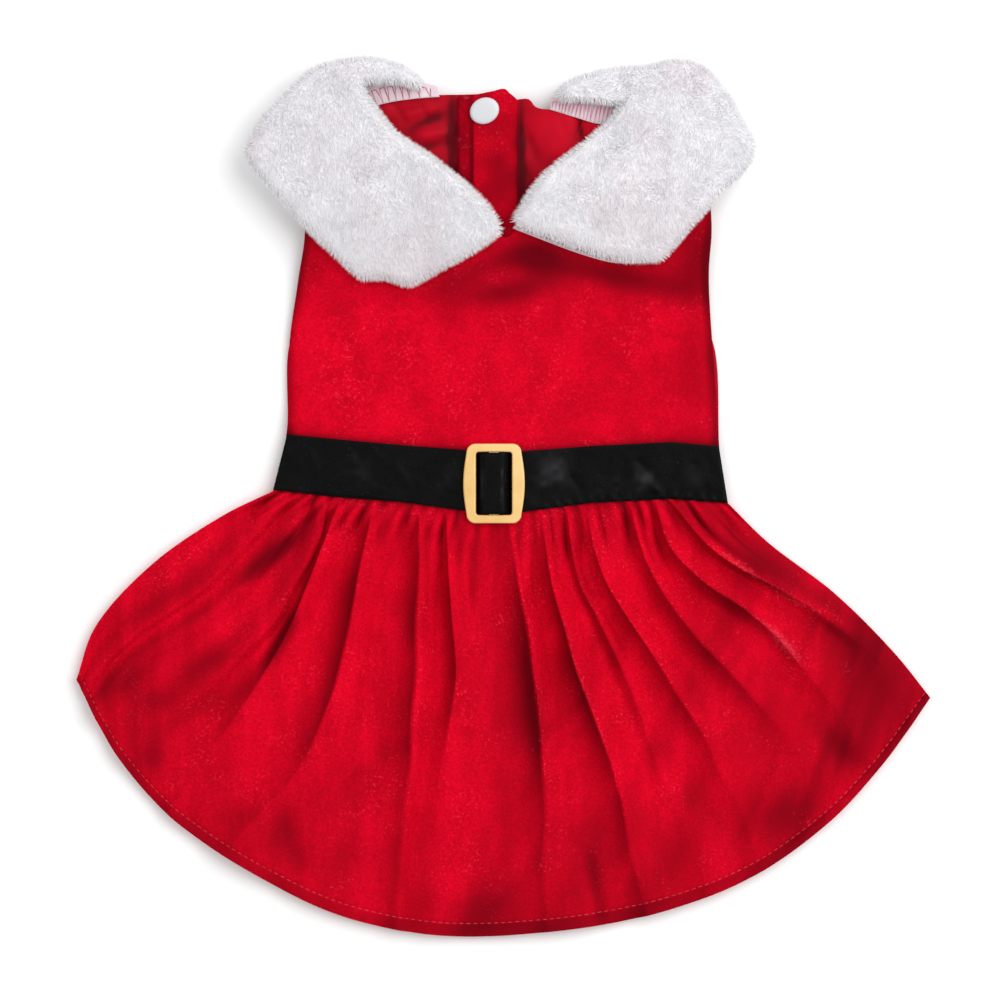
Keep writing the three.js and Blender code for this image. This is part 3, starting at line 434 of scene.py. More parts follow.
class Finish:
    """One material with its tree."""

    def __init__(self, name, **constants):
        self.material = bpy.data.materials.new(name)
        self.material.use_nodes = True
        self.tree = self.material.node_tree
        self.shader = self.tree.nodes["Principled BSDF"]
        for socket, value in constants.items():
            self.shader.inputs[socket.replace("_", " ")].default_value = value

    def node(self, kind, settings=None, sockets=None, out=0):
        made = self.tree.nodes.new(kind)
        for key, value in (settings or {}).items():
            setattr(made, key, value)
        for key, value in (sockets or {}).items():
            self.feed(made.inputs[key], value)
        return Socket(self, made.outputs[out])

    def feed(self, target, value):
        if isinstance(value, Socket):
            self.tree.links.new(value.socket, target)
        else:
            target.default_value = value

    def place(self, scale=(1, 1, 1), turn=0.0, use_uv=False):
        """Object coordinates, or the piece's own lay in metres, stretched and turned."""
        kind = "UV" if use_uv else "Object"
        source = self.node("ShaderNodeTexCoord", out=2 if use_uv else 3)
        assert source.socket.name == kind
        sockets = {"Vector": source, "Scale": scale, "Rotation": (0, 0, turn)}
        return self.node("ShaderNodeMapping", None, sockets)

    def tone(self, name):
        """A tone stored on the piece's points."""
        return self.node("ShaderNodeAttribute", {"attribute_name": name}, out=2)

    def noise(self, where, scale, detail=2.0, rough=0.5):
        sockets = {"Vector": where, "Scale": scale, "Detail": detail, "Roughness": rough}
        return self.node("ShaderNodeTexNoise", None, sockets)

    def between(self, value, low, high):
        """The share of the way from low to high, kept between 0 and 1."""
        sockets = {"Value": value, "From Min": low, "From Max": high}
        return self.node("ShaderNodeMapRange", {"interpolation_type": "SMOOTHSTEP"}, sockets)

    def blend(self, share, first, second):
        sockets = {"Factor": share, 6: first, 7: second}
        return self.node("ShaderNodeMix", {"data_type": "RGBA"}, sockets, out=2)

    def bump(self, height, distance, strength=1.0):
        sockets = {"Height": height, "Distance": distance, "Strength": strength}
        return self.node("ShaderNodeBump", None, sockets)

    def set(self, **values):
        for socket, value in values.items():
            self.feed(self.shader.inputs[socket.replace("_", " ")], value)
        return self


def velvet(name, colours, streak, patch_share=0.5):
    """Crushed velvet whose pile lies in patches and streaks, with painted shade deeper in the folds and
    painted highlight specks on the crests.
    """
    finish = Finish(
        name,
        Sheen_Weight=0.08,
        Sheen_Roughness=0.3,
        Sheen_Tint=(1.0, 0.03, 0.08, 1),
        Specular_IOR_Level=0.03,
    )
    lay = finish.place(scale=streak, use_uv=True)
    flat = finish.place()
    streaks = finish.between(finish.noise(lay, 90, 4, 0.6), 0.35, 0.66)
    patches = finish.between(finish.noise(flat, 55, 3, 0.65), 0.36, 0.66)
    grain = finish.noise(flat, 900, 3, 0.75)
    shade, glint = finish.tone("shade"), finish.tone("glint")
    nap_and_shade = streaks * (1 - patch_share) + patches * patch_share
    # The pile's own tone, darkened by the painted shade of the shade tone.
    nap_and_shade = nap_and_shade * 0.5 + 0.5 * finish.between(grain, 0.34, 0.68) - 0.35 * shade
    color = finish.blend(finish.between(nap_and_shade, 0, 1), colours["dark"], colours["bright"])
    # Painted shade: towards the shadow red where the shade tone is high.
    color = finish.blend(finish.between(shade + 0.12 * (grain - 0.5), 0.02, 1.0), color, colours["shadow_red"])
    # Painted highlight specks: more where the glint tone is high, fewer in painted shade.
    lit = finish.noise(flat, 70, 3) - 0.2 * shade + 0.4 * glint
    specks = finish.between(grain, 0.58, 0.7) * finish.between(lit, 0.45, 0.65)
    sparkle = 0.35 * specks + 0.3 * finish.between(glint * grain, 0.2, 0.6)
    color = finish.blend(sparkle, color, colours["highlight_red"])
    pile = finish.noise(flat, 1600, 2, 0.7) + 0.6 * grain
    relief = finish.bump(pile, 0.0003, 0.6)
    return finish.set(Base_Color=color, Roughness=0.66 + 0.2 * nap_and_shade, Normal=relief).material


def woven_back(name, shadow_red, dark, bright):
    """Smooth woven back of the velvet, a little glossy, with painted shade and light from the piece's shade
    tone.
    """
    finish = Finish(name, Sheen_Weight=0.02, Sheen_Tint=(1.0, 0.1, 0.15, 1), Specular_IOR_Level=0.06)
    flat = finish.place()
    sockets = {"Vector": flat, "Scale": 900.0, "Distortion": 0.6}
    warp, weft = (finish.node("ShaderNodeTexWave", {"bands_direction": way}, sockets) for way in "XY")
    worn = finish.between(finish.noise(flat, 90, 3, 0.6), 0.3, 0.7)
    shade = finish.tone("shade")
    # Worn tone, with painted shade and, below zero, painted light from the shade tone; towards the painted
    # shadow red where it is high.
    color = finish.blend(finish.between(0.35 * worn - shade, -0.45, 0.7), dark, bright)
    color = finish.blend(finish.between(shade, 0.35, 1.1), color, shadow_red)
    relief = finish.bump(warp * weft, 0.00008, 0.3)
    return finish.set(Base_Color=color, Roughness=0.42 + 0.2 * worn, Normal=relief).material


def satin_ribbon(name):
    """Black satin ribbon: fine cross ribs, a faint gloss, and painted sheen from the glint tone in patches
    along its length.
    """
    finish = Finish(name, Coat_Roughness=0.4, Specular_IOR_Level=0.06)
    lay = finish.place(use_uv=True)
    flat = finish.place()
    sockets = {"Vector": lay, "Scale": 620.0, "Distortion": 0.8}
    ribs = finish.node("ShaderNodeTexWave", {"bands_direction": "X"}, sockets)
    rubbed = finish.between(finish.noise(flat, 90, 3, 0.6), 0.4, 0.75)
    fleck = finish.between(finish.noise(flat, 1100, 2), 0.66, 0.74)
    # Painted sheen: lighter grey where the glint tone is high.
    sheen = finish.between(finish.tone("glint"), 0.0, 1.0)
    color = finish.blend(rubbed, (0.0008, 0.0008, 0.001, 1), (0.002, 0.002, 0.0025, 1))
    color = finish.blend(0.5 * sheen, color, (0.04, 0.04, 0.045, 1))
    color = finish.blend(fleck * 0.15, color, (0.06, 0.06, 0.065, 1))
    return finish.set(
        Base_Color=color, Roughness=0.36 + 0.14 * rubbed, Normal=finish.bump(ribs, 0.00006, 0.3)
    ).material


def fur(name, shade, bright, stain):
    """Pile of white fur fabric, faintly grey and pink between its tufts."""
    finish = Finish(name, Sheen_Weight=0.2, Sheen_Roughness=0.6, Specular_IOR_Level=0.1)
    flat = finish.place()
    tufts = finish.between(finish.noise(flat, 150, 3, 0.6), 0.3, 0.6)
    blush = finish.between(finish.noise(flat, 28, 2, 0.5), 0.48, 0.7)
    strand = finish.noise(flat, 900, 2, 0.7)
    color = finish.blend(tufts, shade, bright)
    color = finish.blend(blush * 0.5, color, stain)
    return finish.set(
        Base_Color=color, Roughness=0.7 + 0.2 * strand, Normal=finish.bump(strand, 0.0002, 0.3)
    ).material


def knit_backing(name):
    """Knitted backing of the fur where it shows as a seam allowance."""
    finish = Finish(name, Sheen_Weight=0.2, Specular_IOR_Level=0.1)
    flat = finish.place()
    loops = finish.node("ShaderNodeTexVoronoi", None, {"Vector": flat, "Scale": 1300.0})
    stain = finish.between(finish.noise(flat, 160, 2), 0.35, 0.7)
    color = finish.blend(stain, (0.66, 0.53, 0.57, 1), (0.7, 0.64, 0.66, 1))
    relief = finish.bump(loops, 0.0002, 0.6)
    return finish.set(Base_Color=color, Roughness=0.8 + 0.1 * stain, Normal=relief).material


def thread(name, dark, bright):
    """Twisted sewing thread."""
    finish = Finish(name, Sheen_Weight=0.1, Specular_IOR_Level=0.15)
    flat = finish.place()
    twist = finish.noise(flat, 1500, 2, 0.6)
    color = finish.blend(finish.between(twist, 0.35, 0.65), dark, bright)
    relief = finish.bump(twist, 0.0001, 0.5)
    return finish.set(Base_Color=color, Roughness=0.5 + 0.2 * twist, Normal=relief).material


def moulded(name, dark, bright, rough, coat):
    """Moulded plastic: faint flow marks, slightly rubbed."""
    finish = Finish(name, Coat_Roughness=0.15, Specular_IOR_Level=0.5)
    flat = finish.place()
    flow = finish.between(finish.noise(flat, 60, 3, 0.5), 0.3, 0.7)
    scuffs = finish.noise(flat, 1400, 3, 0.7)
    color = finish.blend(flow, dark, bright)
    return finish.set(
        Base_Color=color,
        Roughness=rough + 0.12 * finish.between(scuffs, 0.4, 0.7),
        Coat_Weight=coat * flow,
        Normal=finish.bump(scuffs, 0.00004, 0.3),
    ).material


def grid_object(name, x, y, low, high, finish, tones=None):
    """One closed wall from grids of x, y, its two faces' heights in millimetres and its tones."""
    down, across = x.shape
    count = down * across
    points = np.concatenate([np.stack([x, y, z], -1).reshape(-1, 3) for z in (low, high)]) * MM
    corner = (np.arange(down - 1)[:, None] * across + np.arange(across - 1)).ravel()
    cell = np.stack([corner, corner + 1, corner + across + 1, corner + across], -1)
    index = np.arange(count).reshape(down, across)
    ring = np.concatenate([index[0, :-1], index[:-1, -1], index[-1, :0:-1], index[:0:-1, 0]])
    after = np.roll(ring, -1)
    side = np.stack([ring, after, after + count, ring + count], -1)
    faces = np.concatenate([cell[:, ::-1], cell + count, side])
    u_x, v_y = np.gradient(x, axis=1), np.gradient(y, axis=0)
    u_y, v_x = np.gradient(y, axis=1), np.gradient(x, axis=0)
    if (u_x * v_y - u_y * v_x).sum() < 0:
        faces = faces[:, ::-1]
    mesh = bpy.data.meshes.new(name)
    mesh.from_pydata(points.tolist(), [], faces.tolist())
    along = np.cumsum(np.hypot(u_x, u_y), axis=1)
    lay = np.stack([along - along[:, -1:] / 2, np.cumsum(np.hypot(v_x, v_y), axis=0)], -1).reshape(-1, 2) * MM
    corners = np.empty(len(mesh.loops), dtype=np.int32)
    mesh.loops.foreach_get("vertex_index", corners)
    mesh.uv_layers.new(name="lay").data.foreach_set("uv", lay[corners % count].ravel())
    for tone, grid in (tones or {}).items():
        values = np.tile(np.clip(grid, -1, 1).ravel(), 2)
        mesh.attributes.new(tone, "FLOAT", "POINT").data.foreach_set("value", values)
    return finished(name, mesh, finish)


def finished(name, mesh, finish):
    mesh.shade_smooth()
    mesh.set_sharp_from_angle(angle=math.radians(50))
    mesh.materials.clear()
    mesh.materials.append(finish)
    made = bpy.data.objects.new(name, mesh)
    bpy.context.scene.collection.objects.link(made)
    return made


def faces_of_wall(x, y, low, wall):
    """High face over a low one, thicker on slopes and eased at the free edges."""
    slope = np.hypot(*np.gradient(low)) / (np.hypot(np.gradient(x, axis=1), np.gradient(y, axis=1)) + 1e-6)
    high = low + wall * np.minimum(np.hypot(1, np.minimum(slope, 1.2)), 1.5)
    edge = np.zeros_like(low, bool)
    edge[[0, -1], :] = True
    edge[:, [0, -1]] = True
    ease = 0.22 * wall * edge
    return low + ease, high - ease


def mark(piece, nodes=()):
    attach(piece, "root")
    if nodes:
        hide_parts(*nodes)


def crease_height(x, y, creases):
    total = np.zeros_like(x)
    for (ax, ay), (bx, by), width, height in creases:
        length = math.hypot(bx - ax, by - ay)
        along = ((x - ax) * (bx - ax) + (y - ay) * (by - ay)) / length
        away = ((y - ay) * (bx - ax) - (x - ax) * (by - ay)) / length
        fade = smooth(along, -2, 0.3 * length) * (1 - smooth(along, 0.7 * length, length + 2))
        total += height * fade * np.exp(-((away / width) ** 2))
    return total


def along_fold(v, values):
    total = 0.0
    for i, here in enumerate(FOLD_STATIONS):
        share = 1.0
        for j, other in enumerate(FOLD_STATIONS):
            if i != j:
                share = share * (v - other) / (here - other)
        total = total + values[i] * share
    return total


def skirt_columns(per_rise, per_wave, least):
    """Columns of the skirt: fold, whether on the rising side, and the share of that side."""
    columns = []
    for fold, row in enumerate(SKIRT_FOLDS[:-1]):
        if fold:
            columns += [(fold, True, k / per_rise) for k in range(per_rise)]
        steps = max(least, per_wave * (2 * row[3] - 1))
        columns += [(fold, False, k / steps) for k in range(steps)]
    return columns + [(len(SKIRT_FOLDS) - 2, False, 1.0)]


def crest_line(fold, v):
    """Share of the width at which a fold's crest runs, a little unsteady."""
    samples = curve_samples(list(zip(SKIRT_FOLDS[fold][0], EDGE_STATIONS)))
    side = fold in (0, len(SKIRT_FOLDS) - 1)
    wobble = 0.003 * ripple(v * 9, fold * 3.0, 1.0, 5) * smooth(v, 0.05, 0.3) * (not side)
    return np.interp(v, samples[:, 1], samples[:, 0]) + wobble


def fold_start(fold, v):
    """Where the rise towards a fold's crest begins, some way after the crest before."""
    crest = crest_line(fold, v)
    if fold in (0, len(SKIRT_FOLDS) - 1):
        return crest
    lead = (0.3 + 0.7 * smooth(v, 0, LEAD_FULL_AT)) * SKIRT_FOLDS[fold][2] / lerp(WAIST_ACROSS, HEM_ACROSS, v)
    most = LEAD_MOST * (crest - crest_line(fold - 1, v))
    return crest - (lead + most - np.sqrt((lead - most) ** 2 + 1e-5)) / 2


def skirt_sheet(columns, rows, detail):
    """Grids of x, y, height of folds and ruffles, painted shade before the crests and between the gathers,
    and painted highlights along the crests.
    """
    v = np.array(rows)[:, None]
    across = lerp(WAIST_ACROSS, HEM_ACROSS, v)
    lays, heights, shades, glints = [], [], [], []
    for fold, rising, share in columns:
        crest_u = crest_line(fold, v)
        crest = np.maximum(0, along_fold(v, (0.0,) + SKIRT_FOLDS[fold][1]))
        next_crest = np.maximum(0, along_fold(v, (0.0,) + SKIRT_FOLDS[fold + 1][1]))
        # How crisp the crest is, and how dark the painted shade lies before this crest and the next.
        crisp, dark, next_shade_amount = *SKIRT_FOLDS[fold][4:], SKIRT_FOLDS[fold + 1][5]
        # Strength of the painted shade and highlight: weaker towards the hem, stronger on high crests.
        fade = 1 - 0.5 * smooth(v, 0.5, 0.92)
        painted_contrast = fade * dark * np.clip(crest / max(SKIRT_FOLDS[fold][1]), 0, 1)
        next_painted_contrast = fade * next_shade_amount * np.clip(next_crest / max(1, *SKIRT_FOLDS[fold + 1][1]), 0, 1)
        waves = 2 * SKIRT_FOLDS[fold][3] - 1
        if rising:
            u, number = lerp(fold_start(fold, v), crest_u, share), 0
            ruffle = (1 - math.cos(math.pi * share)) / 2
            shape = lerp(ruffle, share**RISE_BEND, crisp)
            # Painted shade on the rising side, darkest next to a crisp crest.
            painted_soft_shade = 0.15 + 0.85 * math.sin(math.pi * share * 0.8) ** 2
            shade = painted_contrast * lerp(painted_soft_shade, 0.1 + 0.9 * share**2.4, crisp)
            glint = 0 * painted_contrast
        else:
            u = lerp(crest_u, fold_start(fold + 1, v), share)
            shape = (1 + math.cos(math.pi * share**FALL_BEND)) / 2
            ruffle, number = (1 + math.cos(math.pi * share * waves)) / 2, int((share * waves + 1) / 2)
            # Painted shade before the next rise and, on soft folds, just past the crest; painted highlight
            # along crisp crests.
            shade = 0.1 * next_painted_contrast * share**2 + (1 - crisp) * 0.48 * painted_contrast * max(0, 1 - share / 0.3) ** 2
            glint = crisp * painted_contrast * max(0, 1 - share / 0.16)
        uneven = 0.72 + 0.28 * math.sin(2.7 * fold + 1.9 * number)
        reach = 1 - smooth(v, 0.08, 0.24 + 0.1 * math.sin(fold + number))
        gather = GATHER_HEIGHT * smooth(v, 0, 0.045) * reach
        if detail:
            ruffle = ruffle**0.7
            lean = FOLD_LEAN * crest * (share**2 if rising else (1 - share) ** 3)
            u = u - lean / across * (fold > 0)
        lays.append(u)
        fine = np.sin(u * WAIST_ACROSS * 1.25 + 2.5 * ripple(u * WAIST_ACROSS, 0 * v, 9, 6))
        near_belt = 1 - smooth(v, 0.03, 0.16)
        pleats = 0.5 * near_belt * (1 + fine) * smooth(v, 0, 0.02)
        heights.append(crest * shape + gather * ruffle * uneven + pleats)
        # Painted shade between the gathers and the fine pleats under the belt.
        shades.append(shade + 0.36 * reach * (1 - ruffle) * uneven + 0.12 * near_belt * (1 - fine))
        glints.append(glint)
    u = np.clip(np.concatenate(lays, axis=1), 0, 1)
    v = np.broadcast_to(v, u.shape)
    x, y = panel(SKIRT_WAIST, SKIRT_HEM, SKIRT_LEFT, SKIRT_RIGHT, u, v)
    return x, y, u, v, *(np.concatenate(grids, axis=1) for grids in (heights, shades, glints))


# Troughs and ridges of the skirt beside its folds: from, to, width and height.
SKIRT_CREASES = (
    ((-14, -14), (-12, -46), 1.8, -1.4),
    ((26, -12), (38, -54), 2.6, -1.2),
    ((34, -138), (40, -174), 2.6, -1.4),
    ((-94, -118), (-78, -154), 5.0, -1.2),
    ((-104, -128), (-95, -156), 4.2, 1.0),
    ((-80, -12), (-106, -37), 4.5, -1.8),
    ((-108, -38), (-154, -72), 5.5, -1.2),
    ((-152, -60), (-104, -34), 5.5, 0.9),
    ((-81, -42), (-97, -72), 4.5, -1.3),
    ((-98, -72), (-146, -98), 5.0, -0.8),
    ((56, -90), (90, -138), 6.0, -1.2),
    ((116, -82), (146, -112), 5.0, -1.0),
    ((90, -46), (124, -78), 4.0, 1.0),
    ((98, -30), (134, -50), 3.6, 1.2),
    ((-4, -90), (-16, -140), 5.0, 1.0),
    ((-14, -128), (-22, -174), 5.0, 1.0),
    ((-42, -94), (-64, -122), 6.0, -1.3),
    ((-58, -106), (-64, -152), 6.5, -1.3),
    ((-126, -84), (-156, -78), 5.5, -1.0),
    ((-112, -98), (-142, -116), 5.5, 0.9),
    ((66, -54), (86, -98), 4.4, -0.8),
    ((8, -54), (16, -108), 5.0, -0.8),
    ((-34, -52), (-38, -104), 4.2, 0.9),
)


# Places of the skirt darker with the pile's own tone and painted shade or, below zero, lighter with painted
# light: middle, half sizes, turn in degrees, amount.
SKIRT_PATCHES = (
    ((110, -32), (36, 10), -36, 0.62),
    ((150, -68), (26, 20), -40, 0.62),
    ((134, -100), (30, 16), 45, 0.24),
    ((96, -58), (22, 24), 0, 0.24),
    ((-91, -22), (18, 3.4), 45, 0.5),
    ((-122, -34), (16, 8), 40, 0.3),
    ((-86, -54), (16, 4), 62, 0.42),
    ((-122, -84), (26, 5), 28, 0.14),
    ((-108, -136), (16, 16), 45, 0.17),
    ((-70, -152), (16, 11), 0, 0.12),
    ((-27, -166), (14, 11), 0, 0.17),
    ((-150, -72), (14, 6), 20, 0.3),
    ((-161, -80), (6, 8), 0, 0.3),
    ((-104, -134), (16, 12), -30, 0.30),
    ((-66, -152), (27, 19), -20, 0.21),
    ((-139, -104), (10, 8), 0, 0.4),
    ((-92, -78), (16, 8), 40, -0.2),
    ((-94, -52), (24, 18), 45, -0.12),
    ((-100, -108), (12, 10), 40, -0.2),
    ((-18, -124), (8, 34), -4, -0.22),
    ((2, -146), (18, 54), 0, 0.31),
    ((-9, -166), (22, 11), 0, 0.20),
    ((141, -103), (14, 12), 45, 0.3),
    ((30, -136), (14, 51), 0, 0.25),
    ((62, -144), (19, 35), 0, 0.17),
    ((88, -150), (27, 16), 30, 0.30),
    ((112, -126), (16, 12), 30, 0.5),
    ((92, -26), (20, 2.4), -36, -0.5),
    ((122, -44), (16, 2.6), -26, -0.4),
)
# Painted highlights along the skirt's crests: middle, half sizes, turn in degrees, amount.
SKIRT_GLINTS = (
    ((112, -58), (14, 4), -46, 0.8),
    ((120, -43), (16, 3), -26, 0.6),
    ((93, -26), (20, 2.6), -36, 0.6),
)
# Painted shadows on the bodice, mostly under the collars, and, below zero, painted sheen: middle, half sizes,
# turn in degrees, amount.
BODICE_SHADOWS_AND_SHEEN = (
    ((-4, 50), (28, 18), 10, -0.3),
    ((0, 82), (18, 6), 10, 0.6),
    ((13, 97), (11, 9), -20, 0.6),
    ((-7, 92), (20, 5), 18, 0.4),
    ((40, 90), (30, 6), -12, 0.6),
    ((66, 86), (20, 9), 0, 0.1),
    ((78, 99), (10, 14), 0, 0.6),
    ((-32, 82), (18, 5), 10, 0.2),
    ((76, 60), (12, 40), 0, 0.24),
    ((20, 66), (12, 26), 0, 0.22),
    ((-55, 60), (18, 24), 0, -0.18),
    ((62, 46), (18, 12), 0, -0.1),
    ((-76, 96), (6, 14), 0, 0.3),
)
# Painted shadows in the grooves and the V of the neck and, below zero, painted highlights on the puffs of the
# lining: middle, half sizes, turn in degrees, amount.
NECK_SHADOWS_AND_HIGHLIGHTS = (
    ((-20.5, 140), (1.9, 26), 0, 1.0),
    ((-12.6, 136), (0.7, 24), 0, 0.7),
    ((7.2, 138), (1.8, 22), 0, 1.0),
    ((-1, 108), (8, 8), 0, 0.3),
    ((-2, 150), (8, 16), 0, 0.16),
    ((18, 148), (8, 10), 0, 0.35),
    ((-2, 126), (10, 9), 0, 0.2),
    ((31, 147), (1.2, 6), 15, 1.0),
    ((20, 147), (8, 7), 0, -0.6),
    ((-45, 158), (5, 5), 0, -0.7),
    ((-30, 151), (2, 7), -60, 0.5),
    ((-26, 143), (2, 8), -60, 0.45),
    ((12, 128), (5, 9), 0, 0.6),
    ((2, 157), (6, 4), 0, -0.3),
)


def patch_shade(x, y, patches):
    total = np.zeros_like(x)
    for (mx, my), (half_x, half_y), turn, amount in patches:
        c, s = math.cos(math.radians(turn)), math.sin(math.radians(turn))
        along, up = c * (x - mx) + s * (y - my), c * (y - my) - s * (x - mx)
        total += amount * np.exp(-((along / half_x) ** 2) - (up / half_y) ** 2)
    return total


def add_seam_row(grids):
    """Repeats the first row under the belt, up to the waist seam."""
    x, y = grids[0], grids[1]
    up = [np.vstack([SEAM_NARROWER * x[:1], x]), np.vstack([y[:1] + SEAM_ABOVE_BELT_EDGE - SEAM_GAP, y])]
    return up + [np.vstack([g[:1], g]) for g in grids[2:]]


def skirt_grids(columns, upper, middle, turned_up, detail):
    """The skirt's grids, with rows for the gathers, the length, the hem's stitches and its turned-up edge."""
    stitches = (HEM_STITCH - 0.005, HEM_STITCH, HEM_STITCH + 0.005)
    grids = add_seam_row(skirt_sheet(columns, np.r_[0, upper, middle, stitches, turned_up], detail))
    grids[3][0] = SEAM_ROW
    return grids


def buckle_press(x, v):
    """How much of its folds the skirt keeps below the buckle."""
    return 1 - PRESS_DEPTH * plateau(x, *PRESS_SPAN) * (1 - smooth(v, *PRESS_ENDS))


def hem_line(x, y, v, face):
    """Where the hem's stitches run on a face of the skirt."""
    row = int(np.argmin(np.abs(v[:, 0] - HEM_STITCH)))
    return x[row], y[row], face[row]


def skirt_front(finish):
    upper, middle = np.linspace(0.008, 0.2, 24), np.linspace(0.213, HEM_STITCH - 0.01, 56)
    columns = skirt_columns(10, 6, 12)
    x, y, u, v, folds, shade, glint = skirt_grids(columns, upper, middle, np.linspace(0.984, 1.0, 5), True)
    pressed = buckle_press(x, v)
    grown = smooth(v, 0.12, 0.4)
    across = u * lerp(WAIST_ACROSS, HEM_ACROSS, v)
    soft = 1.1 * ripple(across, v * 90, 17, 11) + 0.5 * ripple(across, v * 90, 7, 12)
    side = smooth(u, 0, 0.03) * (1 - smooth(u, 0.97, 1))
    by_hand = crease_height(x, y, SKIRT_CREASES) * smooth(v, 0.02, 0.08)
    settle = 1 - smooth(v, 0, WAIST_SETTLES)
    low = BELT_LIFT * settle + lap_lift(x) * (1 - smooth(v, 0, LAP_SETTLES)) + folds * pressed
    low = LAYER + np.maximum(low + (soft * grown + 1.3 * grown + by_hand) * side, 0)
    groove = 0.45 * np.exp(-(((v - HEM_STITCH) / 0.004) ** 2))
    roll = HEM_FOLD_EXTRA * smooth(v, HEM_STITCH, HEM_STITCH + 0.012)
    low_face, high_face = faces_of_wall(x, y, low, CLOTH_WALL)
    high_face = high_face + roll - groove
    # Painted shade in the troughs of the creases and the low swells, painted light on their ridges.
    sunk = np.clip(-by_hand / 5, -0.12, 0.3) + 0.16 * np.clip(-soft, -0.5, 1) * grown
    # The skirt's painted shade, also darker below the hem's stitches.
    shade = 0.05 + shade + sunk + 0.3 * smooth(v, HEM_STITCH - 0.004, HEM_STITCH + 0.006)
    # Painted shadow just below the belt.
    shade += 0.16 * (1 - smooth(v, 0.006, 0.02))
    # Patches of painted shade and light, with a faint uneven tone.
    shade = shade + patch_shade(x, y, SKIRT_PATCHES) + 0.1 * grown * ripple(x, y, 24, 13)
    # Painted highlights: stronger on the crests to the right, and flecks on the gathers under the belt.
    glint_flecks = smooth(ripple(x, y, 3, 14), 0, 0.6)
    glint = glint * smooth(x, -60, 60) + 0.5 * (1 - smooth(v, 0.015, 0.06)) * glint_flecks
    tones = {"shade": shade, "glint": glint + patch_shade(x, y, SKIRT_GLINTS)}
    made = grid_object("front_skirt", x, y, low_face, high_face, finish, tones)
    return made, hem_line(x, y, v, high_face)


def skirt_back(finish):
    upper, middle = np.linspace(0.015, 0.2, 12), np.linspace(0.23, HEM_STITCH - 0.01, 34)
    columns = skirt_columns(4, 4, 8)
    x, y, _, v, folds, shade, _ = skirt_grids(columns, upper, middle, np.linspace(0.986, 1.0, 3), False)
    follows = BACK_FOLLOWS * np.maximum(0, folds * buckle_press(x, v) - BACK_STAYS_FLAT)
    low = BELT_LIFT * (1 - smooth(v, 0, WAIST_SETTLES)) + follows
    low_face, high_face = faces_of_wall(x, y, low, CLOTH_WALL)
    # The rear skirt keeps a weaker copy of the front's painted shade.
    made = grid_object("rear_skirt", x, y, low_face, high_face, finish, {"shade": 0.6 * shade})
    return made, hem_line(x, y, v, low_face)


def bodice_foot():
    inner = [(x, y + SEAM_ABOVE_BELT_EDGE) for x, y in SKIRT_WAIST[1:-1]]
    return (BODICE_LEFT[0], *inner, BODICE_RIGHT[0])


def bodice_front(finish):
    u, v = np.meshgrid(np.linspace(0, 1, 171), np.linspace(0, 1, 95))
    x, y = panel(bodice_foot(), NECK, BODICE_LEFT, BODICE_RIGHT, u, v)
    low = front_low(x, y)
    above = np.clip(y - belt_edge(x, "top"), 0, None)
    swell = 0.5 * (1 + ripple(x, y, 34, 21)) + 0.2 * (1 + ripple(x, y, 12, 22))
    inside = plateau(u, 0, 0.05, 0.95, 1) * smooth(v, 0.08, 0.16) * (1 - smooth(v, 0.6, 0.8))
    low = low + swell * inside
    # Painted shadow along the belt's upper edge.
    near_belt = 0.5 * np.exp(-above / 2.5)
    # Painted shadows and sheen from the patches, with a faint uneven tone.
    shade = 0.08 + patch_shade(x, y, BODICE_SHADOWS_AND_SHEEN) + near_belt + 0.12 * ripple(x, y, 16, 23)
    # Painted shade along the bodice's side edges.
    shade += 0.5 * (1 - smooth(np.minimum(u, 1 - u), 0, 0.03))
    # Painted highlight specks just above the belt.
    glint = 0.5 * np.exp(-(((above - 1.5) / 2) ** 2)) * smooth(ripple(x, y, 5, 24), 0, 0.7)
    tones = {"shade": shade, "glint": glint}
    return grid_object("front_bodice", x, y, *faces_of_wall(x, y, low, CLOTH_WALL), finish, tones)


# Creases on the halves behind where they show in the neck: from and to point, width, height.
BACK_CREASES = (
    ((-45, 160), (-39, 150), 1.4, -0.9),
    ((-44, 152), (-24, 157), 1.5, 0.9),
    ((-38, 148), (-22, 153), 1.3, -0.8),
    ((-34, 144), (-21, 147), 1.4, 0.9),
    ((-30, 140), (-20, 142), 1.2, -0.7),
    ((-34, 158), (-30, 152), 1.2, -0.7),
    ((10, 151), (29, 146), 8.0, 1.6),
    ((16, 140), (28, 137), 3.4, 0.8),
    ((22, 152), (26, 143), 1.2, -0.6),
    ((9, 146), (14, 134), 1.8, -0.9),
    ((31, 153), (30, 142), 1.0, -1.1),
    ((34, 152), (38, 147), 1.6, 0.7),
    ((10, 136), (16, 122), 2.6, 0.7),
)


